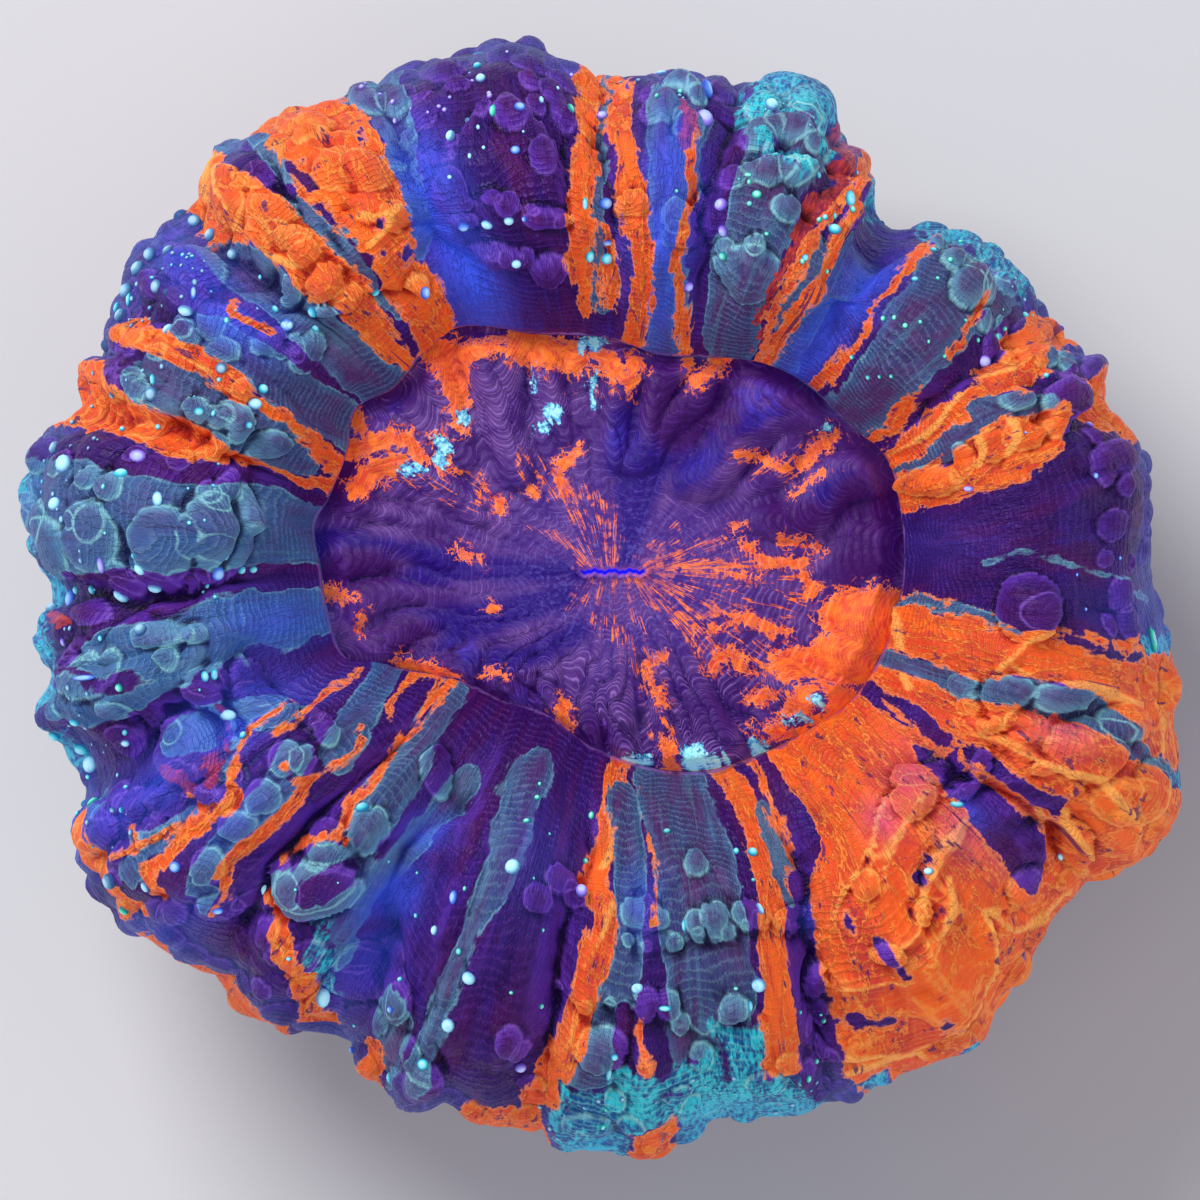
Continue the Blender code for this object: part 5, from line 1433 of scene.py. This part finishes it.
lip_line = t.both(t.mask(t.total(t.mark("lip"), (0.8, fine)), 1.9, 1.3),
                  t.mask(t.total(cloud, streak), -0.35, 0.1))
body = t.blend(lip_line, body, srgb(176, 112, 216), amount=0.55)
# Painted shade: darker in hollows and over wide sunk stretches, dark violet on the plum and slate, dark red
# on the orange.
shadow = t.blend(on_orange, srgb(66, 30, 106), srgb(190, 84, 84))
body = t.blend(hollow_shade, body, shadow, "MULTIPLY", 0.88)
body = t.blend(t.mask(t.mark("depth"), 0.3, 2.6), body, shadow, "MULTIPLY", 0.8)
haze_mask = t.both(t.mark("haze"), t.mask(coarse, -0.5, 0.05), t.mask(orange_field, 0.05, -0.1))
body = t.blend(haze_mask, body, srgb(58, 90, 236), amount=0.88)
rim_light = t.both(t.mask(t.mark("share"), 0.86, 1.0), t.mask(t.mark("share"), 1.15, 1.0),
                   t.mask(coarse, -0.25, 0.1), t.mask(orange_field, 0.05, -0.1))
body = t.blend(rim_light, body, srgb(72, 124, 214), amount=0.32)
surface = t.total((0.9, growth_line), (0.3, fibre), (1.6, fine), (1.0, wrinkle_line))
t.shade(body, 0.32, surface, 0.12, t.maths("MULTIPLY_ADD", fine, -0.35, 0.45))
mantle_skin = mantle.finish(mantle_places, t.material)
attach(mantle_skin, "root")
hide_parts("polyp")

# ---------------------------------------------------------------------------------------
# Papillae
# Small clear bubbles and grains of tissue that stand on the skin, each a squashed bead sunk
# almost half into the surface it sits on and turned to face out of it.
# ---------------------------------------------------------------------------------------
WHITE, CYAN, BLUE, VIOLET, GREEN, GREY = 0.0, 0.25, 0.5, 0.75, 1.0, 1.25
# Beads seen one by one, by tone: plan place and half widths in mm.
BEADS = {
    WHITE: [
        (-36, 8.8, 0.55, 0.7), (-36.6, 6.4, 0.45, 0.5), (-29.4, 6.7, 0.35, 0.55), (-30.7, 2.2, 0.5, 0.5),
        (-29.9, 0.8, 0.5, 0.4), (-32.1, 0.3, 0.7, 0.45), (-25, -7.6, 0.6, 0.4), (-34.5, -10.8, 0.5, 0.6),
        (-32, -9.5, 0.3, 0.25), (-22.6, -19.1, 0.2, 0.5), (-30.6, -19, 0.25, 0.5), (-6.3, -17.7, 0.55, 0.55),
        (9.9, -20.4, 0.25, 0.5), (10, -25.4, 0.5, 0.5), (1.9, -25.8, 0.45, 0.4), (-9.1, 31.5, 0.45, 0.4),
        (-10.3, 30.5, 0.35, 0.4), (-23.1, 30.7, 0.5, 0.3), (-15, 29.2, 0.4, 0.25), (10.7, 32.7, 0.45, 0.55),
        (3.4, 35.1, 0.4, 0.2), (-8, 24.8, 0.45, 0.35), (-6.5, 24.9, 0.35, 0.35), (-6, 22.2, 0.35, 0.3),
        (-8.6, 36.4, 0.4, 0.2), (-8.4, 34.5, 0.35, 0.35), (25.9, 17.4, 0.4, 0.25), (-11.5, -21.7, 0.3, 0.35),
        (-9.2, -24.8, 0.5, 0.5), (-10.4, -27.9, 0.45, 0.5), (-18.8, -26.5, 0.5, 0.7), (-32.1, 18.6, 0.4, 0.4),
        (-28.9, 17.8, 0.5, 0.45), (-27.8, 19.1, 0.55, 0.4), (-23.3, 12.8, 0.5, 0.4),
        (-21.2, 18.1, 0.45, 0.35),
        (-33.5, 16.8, 0.45, 0.4), (29.9, -17.1, 0.2, 0.5), (21.2, -18.1, 0.4, 0.25),
    ],
    CYAN: [
        (-32, 8.3, 0.55, 0.45), (-25.1, 2.9, 0.25, 0.35), (-24.1, 1.9, 0.3, 0.3), (-23.4, 1.9, 0.3, 0.25),
        (-35.2, 0.7, 0.65, 0.3), (-34, 0.8, 0.25, 0.35), (-26.4, -5, 0.3, 0.4), (-25.8, -4.9, 0.25, 0.4),
        (-36.7, -9, 0.45, 0.45), (-35.2, -7.9, 0.4, 0.3), (-35, -10, 0.55, 0.45), (-35, -13.4, 0.4, 0.25),
        (-23.9, -8.9, 0.25, 0.4), (-16, -13.5, 0.5, 0.4), (8.5, -16.4, 0.2, 0.25), (9.5, -16.7, 0.35, 0.35),
        (5, -21.2, 0.2, 0.45), (3.7, -26.7, 0.45, 0.2), (9.1, -26.9, 0.2, 0.4), (0.4, -30, 0.25, 0.25),
        (0, -31.3, 0.2, 0.55), (-8.7, 35.3, 0.3, 0.4), (-15.4, 20.3, 0.3, 0.3), (-27.5, 25.1, 0.45, 0.45),
        (-26.2, 24.1, 0.45, 0.4), (-28.3, 26, 0.3, 0.25), (-21.9, 19, 0.25, 0.3), (-19.4, 17.9, 0.3, 0.25),
        (0, 22.4, 0.4, 0.4), (-1.2, 22.6, 0.3, 0.45), (15.8, 26.5, 0.35, 0.6), (15, 24.4, 0.45, 0.4),
        (14.3, 25.3, 0.2, 0.25), (12.8, 22.5, 0.25, 0.25), (13.9, 28, 0.2, 0.25), (-1.4, 26, 0.2, 0.5),
        (23, -13.4, 0.5, 0.25), (21.5, 23, 0.25, 0.2), (20.1, 21.1, 0.25, 0.2), (27.7, 18.9, 0.3, 0.3),
        (29, 14.8, 0.2, 0.2), (-12.2, -30.9, 0.4, 0.4), (-14.3, -31.7, 0.35, 0.4), (-29.9, 14.5, 0.25, 0.4),
        (-26.8, 12.5, 0.35, 0.3), (-23.6, 11.4, 0.25, 0.25), (-22.6, 13.8, 0.35, 0.35),
        (-31.7, 20.2, 0.2, 0.65), (-32.7, 19.5, 0.25, 0.4), (-19.4, 18.9, 0.4, 0.4),
    ],
    BLUE: [
        (-25.6, 1.8, 0.45, 0.5), (-35.7, 0, 0.4, 0.65), (-34.5, -5.2, 1.2, 0.2), (-28.6, -17.5, 0.4, 0.4),
        (-25.9, -20.6, 0.4, 0.25), (-11.1, 35.6, 0.3, 0.25), (-5.9, 32.3, 0.4, 0.3), (-6.2, 29.7, 0.35, 0.3),
        (-9.4, 24.6, 0.4, 0.35), (-5.4, 25, 0.2, 0.2), (-12.2, 20.2, 0.35, 0.45), (-21.1, 18, 0.35, 0.45),
        (-27.2, 20.2, 0.2, 0.5), (-0.2, 26.2, 0.45, 0.4), (0, 23.6, 0.4, 0.25), (6.5, 33.8, 0.4, 0.7),
        (-10.1, -19.6, 0.3, 0.5), (-14.3, -27, 0.25, 0.25), (-17.3, -29.9, 0.25, 0.25),
    ],
    VIOLET: [
        (-30.9, 9.6, 0.6, 0.45), (-33.2, 2.4, 0.25, 0.7), (-36, -2.7, 0.2, 0.35), (-1.8, -19.3, 0.4, 0.6),
        (-5.7, -30.8, 0.4, 0.35), (6.3, 31.8, 0.6, 0.8), (7.4, 26.1, 0.5, 0.45), (7.6, 24.4, 0.35, 0.45),
        (5.3, 20.6, 0.35, 0.35), (-0.5, 32, 0.4, 0.3), (24.9, 15.9, 0.5, 0.45), (31.8, 11.5, 0.3, 0.25),
        (23.8, 7.3, 0.45, 0.2), (30.3, 18.3, 0.25, 0.2),
    ],
    GREEN: [
        (-32.2, -5.8, 0.3, 0.3), (-34.1, -13.5, 0.55, 0.3), (-32, -20.7, 0.4, 0.35), (-4.7, -12.9, 0.2, 0.2),
        (-5.3, -14.6, 0.25, 0.2), (-1, -14.3, 0.2, 0.3), (-1.6, -17.2, 0.2, 0.2), (3.9, -15.3, 0.25, 0.2),
        (-2.5, 32.4, 0.25, 0.4), (9.8, 26.6, 0.35, 0.3), (9.4, 26, 0.2, 0.2), (7.6, 22.7, 0.45, 0.3),
        (9.2, 28.1, 0.35, 0.15), (36, -2.6, 0.35, 0.9), (-7.4, 32.2, 0.35, 0.45), (22.6, 22.3, 0.2, 0.2),
        (21.7, 21.2, 0.15, 0.15), (18.1, 18.4, 0.2, 0.2), (19.4, 18, 0.2, 0.2), (-9.7, -23, 0.2, 0.25),
    ],
    GREY: [
        (-28.5, 26.0, 0.55, 0.5), (-27.4, 25.2, 0.5, 0.45), (-29.6, 24.3, 0.6, 0.5), (-26.2, 24.1, 0.5, 0.5),
        (-30.3, 22.9, 0.5, 0.5), (-31.2, 21.8, 0.55, 0.6), (-31.9, 20.4, 0.5, 0.55), (-32.3, 18.9, 0.5, 0.5),
        (-33.8, 16.9, 0.5, 0.5), (-29.0, 23.0, 0.45, 0.4), (-30.0, 20.6, 0.45, 0.5), (-24.9, 22.8, 0.45, 0.4),
        (-30.2, 13.6, 0.45, 0.5), (-25.4, 15.3, 0.4, 0.4), (-36.6, 9.9, 0.5, 0.5), (-37.4, 2.2, 0.5, 0.5),
        (-37.0, -0.6, 0.45, 0.5), (-36.2, -6.4, 0.5, 0.6), (-30.6, -2.0, 0.45, 0.5), (-33.0, -18.6, 0.5, 0.6),
    ],
}


def lay_on(grid, x, y, rows):
    """Place on a rolled grid under a plan point, and the way the surface faces there."""
    gaps = np.hypot(grid[:rows, :, 0] - x, grid[:rows, :, 1] - y)
    at = np.unravel_index(gaps.argmin(), gaps.shape)
    return grid[at], grid_faces[id(grid)][at]


grid_faces = {id(grid): grid_normals(grid) for grid in (mantle_places, disc_places)}
on_mantle, on_disc = (mantle_places, rim_row + 1), (disc_places, DISC_ROWS)
bead_list = [(*on_mantle, *bead, tone) for tone, beads in BEADS.items() for bead in beads]
rng = np.random.default_rng(19)
for x, y, spread_x, spread_y, count in FLECKS:
    for _ in range(count):
        size = rng.uniform(0.07, 0.15)
        bead_list.append((*on_disc, x + spread_x * rng.normal(0, 0.6), y + spread_y * rng.normal(0, 0.6),
                          size * rng.uniform(0.6, 1.5), size, rng.choice([WHITE, WHITE, CYAN])))
# Tiny grains scattered over the skin: first and last bearing, shares, how many, tone.
for first, last, inner, outer, count, tone in [
    (164, 210, 0.3, 1.0, 20, CYAN), (140, 164, 0.4, 1.0, 14, CYAN), (92, 118, 0.5, 1.0, 8, WHITE),
    (52, 90, 0.4, 1.0, 14, GREEN), (30, 50, 0.1, 1.0, 14, GREEN), (214, 250, 0.4, 1.0, 8, CYAN),
    (262, 296, 0.3, 1.0, 10, GREEN), (-8, 26, 0.5, 1.0, 6, BLUE), (236, 262, 0.1, 0.7, 8, GREEN),
    (140, 166, 0.75, 1.0, 40, GREY), (166, 212, 0.8, 1.0, 36, GREY), (94, 118, 0.8, 1.0, 24, VIOLET),
    (262, 292, 0.86, 1.0, 20, GREY), (30, 90, 0.88, 1.0, 24, GREY),
]:
    for _ in range(count):
        at, way, size = rng.uniform(first, last), rng.uniform(inner, outer), rng.uniform(0.08, 0.2)
        near, far = (round_curve(edge_line, np.array([at]))[0] for edge_line in (LIP_ROUND, OUTLINE))
        reach = near + way * (far - 0.4 - near)
        bead_list.append((*on_mantle, MOUTH[0] + reach * math.cos(math.radians(at)),
                          MOUTH[1] + reach * math.sin(math.radians(at)),
                          size, size * rng.uniform(0.8, 1.5), tone))

BEAD_RISE = 0.85        # half height of a bead, as a share of its smaller half width
BEAD_LIFT = 0.12        # how far its middle stands off the skin, as a share of that height
bm = bmesh.new()
tone_layer = bm.verts.layers.float.new("tone")
crown_layer = bm.verts.layers.float.new("crown")     # 0 where a bead meets the skin, 1 on its top
for grid, rows, x, y, half_x, half_y, tone in bead_list:
    seat, facing = lay_on(grid, x, y, rows)
    facing = (Vector(facing) * (1 if facing[2] >= 0 else -1)).normalized()
    rise = BEAD_RISE * min(half_x, half_y)
    turn = Vector((0, 0, 1)).rotation_difference(facing).to_matrix().to_4x4()
    shape = Matrix.Diagonal((half_x * MM, half_y * MM, rise * MM, 1))
    place = Matrix.Translation((Vector(seat) + facing * rise * BEAD_LIFT) * MM)
    made = bmesh.ops.create_uvsphere(bm, u_segments=10, v_segments=5, radius=1.0, matrix=place @ turn @ shape)
    for vert in made["verts"]:
        vert[tone_layer] = tone
        vert[crown_layer] = (vert.co / MM - Vector(seat)).dot(facing) / rise
bmesh.ops.recalc_face_normals(bm, faces=bm.faces)
bead_mesh = bpy.data.meshes.new("papillae")
bm.to_mesh(bead_mesh)
bm.free()
bead_mesh.shade_smooth()
t = Tissue("papilla_tissue")
places = add_node(t.tree, "ShaderNodeTexCoord").outputs["Object"]
speckled = t.grain(places, (1700, 1700, 1700))
tone = t.mark("tone")
colour = t.blend(t.mask(tone, 0.05, 0.22), srgb(158, 224, 244), srgb(72, 200, 216))
colour = t.coats(colour, [
    (t.mask(tone, 0.28, 0.47), (90, 140, 240), 1.0),
    (t.mask(tone, 0.53, 0.72), (160, 130, 240), 1.0),
    (t.mask(tone, 0.78, 0.97), (60, 206, 170), 1.0),
    (t.mask(tone, 1.03, 1.22), (92, 142, 178), 1.0),
    # Painted highlight on the top of each bead.
    (t.mask(t.mark("crown"), 0.75, 1.05), (196, 236, 250), 0.5),
    (t.mask(speckled, 0.0, 0.2), (70, 150, 210), 0.4),
])
# Painted shade, darker towards where each bead meets the skin.
colour = t.blend(t.mask(t.mark("crown"), 0.85, 0.2), colour, srgb(64, 70, 160), "MULTIPLY", 0.75)
t.shade(colour, 0.45, speckled, 0.05, t.maths("MULTIPLY_ADD", speckled, 0.2, 0.4))
bead_mesh.materials.append(t.material)
papillae = add_object("papillae", bead_mesh)
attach(papillae, "root")
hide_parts("polyp")

# ---------------------------------------------------------------------------------------
# Column
# The body wall under the mantle: a short ridged collar of thin skin that runs in from the
# mantle's underside, hugs the skeleton, and lines the hollow the skeleton sits in.
# ---------------------------------------------------------------------------------------
FOOT_HEIGHT = 10.0
SEAT_GAP = 0.35
RIB_COUNT = 48
RIB_DEPTH = 0.7
CUT_RADIUS, SEAT_RADIUS = 13.0, 18.6        # of the stony cone, at its cut and at its top


def stone_radius(heights, bearings, rib_share=0.5):
    """The stony cone, a little oval, with its ribs."""
    share_up = np.clip(heights / stone_top, 0, 1)
    plain = CUT_RADIUS + (SEAT_RADIUS - CUT_RADIUS) * share_up ** 0.85
    uneven = 1 + 0.02 * np.cos(np.radians(2 * bearings + 40))
    return plain * uneven + rib_share * RIB_DEPTH * np.cos(np.radians(bearings * RIB_COUNT))


column = Skin("column", 480, 110)
bearing = column.turns * 360
angle = np.radians(bearing)
# Section from the hidden top, out under the mantle, down the wall and up into the hollow:
# place along it, share of the way from column to rim, radius, height.
COLUMN_SECTION = [
    (0.0, 0.0, 0.0, 21.0), (0.1, 0.0, 14.0, 21.0), (0.2, 0.0, 24.0, 20.6), (0.3, 0.45, 24.0, 17.6),
    (0.38, 0.74, 24.0, 15.9), (0.41, 0.76, 24.0, 14.9), (0.44, 0.70, 24.0, 14.1), (0.5, 0.40, 24.0, 13.5),
    (0.57, 0.10, 24.0, 12.9), (0.61, 0.0, 23.4, 12.0), (0.67, 0.0, 21.8, 10.9), (0.71, 0.0, 21.0, 10.15),
    (0.73, 0.0, 20.4, 10.0),
]
LINING_LANE, LID_LANE = 0.74, 0.90       # where the lining of the hollow begins, and its lid
lane = column.along
knots, to_rim, radii, heights = (list(values) for values in zip(*COLUMN_SECTION))
in_hollow = lane > LINING_LANE
out_share = np.interp(lane, knots, to_rim)
wall_radius = open_curve(list(zip(knots, radii)), lane)
level = open_curve(list(zip(knots, heights)), lane)
rim = round_curve(OUTLINE, bearing)
rim_x, rim_y = MOUTH[0] + rim * np.cos(angle), MOUTH[1] + rim * np.sin(angle)
pleats = np.cos(np.radians(bearing * RIB_COUNT + 40 * layered(column.turns, lane, 20, 6, 5)))
folds_here = ramp(lane, 0.42, 0.5) * (1 - ramp(lane, 0.70, 0.73))
puff = folds_here * (0.30 * pleats + 0.5 * layered(column.turns, lane, 60, 16, 9) + 0.3)
wall_radius = wall_radius + puff
column_x = wall_radius * np.cos(angle) * (1 - out_share) + rim_x * out_share
column_y = wall_radius * np.sin(angle) * (1 - out_share) + rim_y * out_share
level = level - 0.5 * puff * ramp(out_share, 0.1, 0.4)
into = np.clip((lane - LINING_LANE) / (LID_LANE - LINING_LANE), 0, 1)
lining_level = FOOT_HEIGHT + into * (stone_top + SEAT_GAP - FOOT_HEIGHT)
lining_radius = stone_radius(lining_level, bearing) + SEAT_GAP + 0.1
lining_radius = lining_radius * (1 - np.clip((lane - LID_LANE) / (1 - LID_LANE), 0, 1))
column_x = np.where(in_hollow, lining_radius * np.cos(angle), column_x)
column_y = np.where(in_hollow, lining_radius * np.sin(angle), column_y)
column_places = np.stack([column_x, column_y, np.where(in_hollow, lining_level, level)], axis=2)
column.marks = dict(pleat=pleats, lane=lane, flow=flow_vector(bearing, lane * 60, 24.0))
t = Tissue("column_tissue")
flow = t.mark("flow", vector=True)
cloud = t.grain(flow, (0.3, 0.3, 0.3))
fine = t.grain(flow, (3.0, 3.0, 1.4), 4.0, 0.6)
stripe = t.grain(flow, (0.6, 0.6, 0.1), 2.0)
body = t.blend(t.mask(cloud, -0.15, 0.15), srgb(92, 52, 96), srgb(62, 34, 92))
body = t.coats(body, [
    (t.mask(stripe, 0.03, 0.12), (150, 66, 56), 0.6),
    (t.mask(stripe, -0.05, -0.14), (66, 92, 124), 0.6),
    (t.mask(t.mark("pleat"), 0.4, 1.0), (150, 104, 132), 0.45),
    (t.mask(t.mark("lane"), 0.6, 0.72), (158, 130, 120), 0.5),
    (t.mask(fine, 0.0, 0.2), (44, 22, 60), 0.4),
])
t.shade(body, 0.2, fine, 0.15, t.maths("MULTIPLY_ADD", fine, -0.3, 0.5))
column_wall = column.finish(column_places, t.material)
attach(column_wall, "root")
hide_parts("polyp")

# ---------------------------------------------------------------------------------------
# Skeleton
# The stony cone of aragonite under the flesh: 48 ribs (costae) set with grains and teeth,
# sawn off flat below, where the plates (septa) and the gaps between them show in the cut.
# ---------------------------------------------------------------------------------------
stone = Skin("corallum", 768, 112)
bearing = stone.turns * 360
angle = np.radians(bearing)
lane = stone.along
CUT_LANE, TOP_LANE = 0.34, 0.90     # the outer wall lies between the cut and the top
GAP_DEPTH = 1.3
up = np.clip((lane - CUT_LANE) / (TOP_LANE - CUT_LANE), 0, 1)
level = up * stone_top
rib = np.cos(np.radians(bearing * RIB_COUNT))
teeth = layered(stone.turns, up, 192, 44, 3, 2)
rib_crest = ramp(rib, -0.6, 0.9)
outer = stone_radius(level, bearing, 0.0) + RIB_DEPTH * (0.95 * rib_crest - 0.6) \
    + 0.22 * teeth * ramp(rib, -0.4, 0.6) + 0.12 * layered(stone.turns, up, 24, 10, 8)
cut_share = np.clip(lane / CUT_LANE, 0, 1)
cap_share = np.clip((1 - lane) / (1 - TOP_LANE), 0, 1)
radius = np.where(lane < CUT_LANE, cut_share * outer, np.where(lane > TOP_LANE, cap_share * outer, outer))
# Between the septa the cut shows open gaps, closed at the wall and at the spongy middle.
order = np.where(np.floor(bearing / (360 / RIB_COUNT) + 0.5) % 2 == 0, 0.3, 0.55)
gap = ramp(-rib, -0.1, 0.55) * ramp(cut_share, order, order + 0.14) * (1 - ramp(cut_share, 0.86, 0.93))
sponge = ramp(layered(stone.turns, cut_share, 48, 22, 31, 2), 0.05, 0.3) * (1 - ramp(cut_share, 0.3, 0.42)) \
    * ramp(cut_share, 0.05, 0.12)
sunk = np.where(lane < CUT_LANE, GAP_DEPTH * np.maximum(gap, 0.6 * sponge), 0.0)
stone_places = np.stack([radius * np.cos(angle), radius * np.sin(angle), level + sunk], axis=2)
stone.marks = dict(sunk=sunk, rib=rib_crest, up=up)
t = Tissue("aragonite")
places = add_node(t.tree, "ShaderNodeTexCoord").outputs["Object"]
grains = t.grain(places, (1500, 1500, 1500), 3.0, 0.65)
cloud = t.grain(places, (130, 130, 130), 3.0)
body = t.blend(t.mask(cloud, -0.15, 0.15), srgb(214, 202, 178), srgb(192, 176, 148))
body = t.coats(body, [
    # Painted highlight on the rib crests and painted shade between the ribs.
    (t.mask(t.mark("rib"), 0.5, 1.0), (236, 228, 208), 0.6),
    (t.mask(t.mark("rib"), 0.4, 0.0), (150, 130, 104), 0.55),
    (t.mask(grains, 0.04, 0.2), (160, 142, 116), 0.5),
    (t.mask(t.mark("up"), 0.55, 0.2), (172, 150, 146), 0.25),
    # Painted shade in the open gaps of the cut.
    (t.mask(t.mark("sunk"), 0.1, 1.0), (104, 88, 70), 0.7),
])
t.tree.links.new(body, t.shader.inputs["Base Color"])
t.tree.links.new(t.maths("MULTIPLY_ADD", grains, 0.2, 0.85), t.shader.inputs["Roughness"])
t.bump(grains, 0.25)
skeleton = stone.finish(stone_places, t.material)
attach(skeleton, "root")
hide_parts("skeleton")
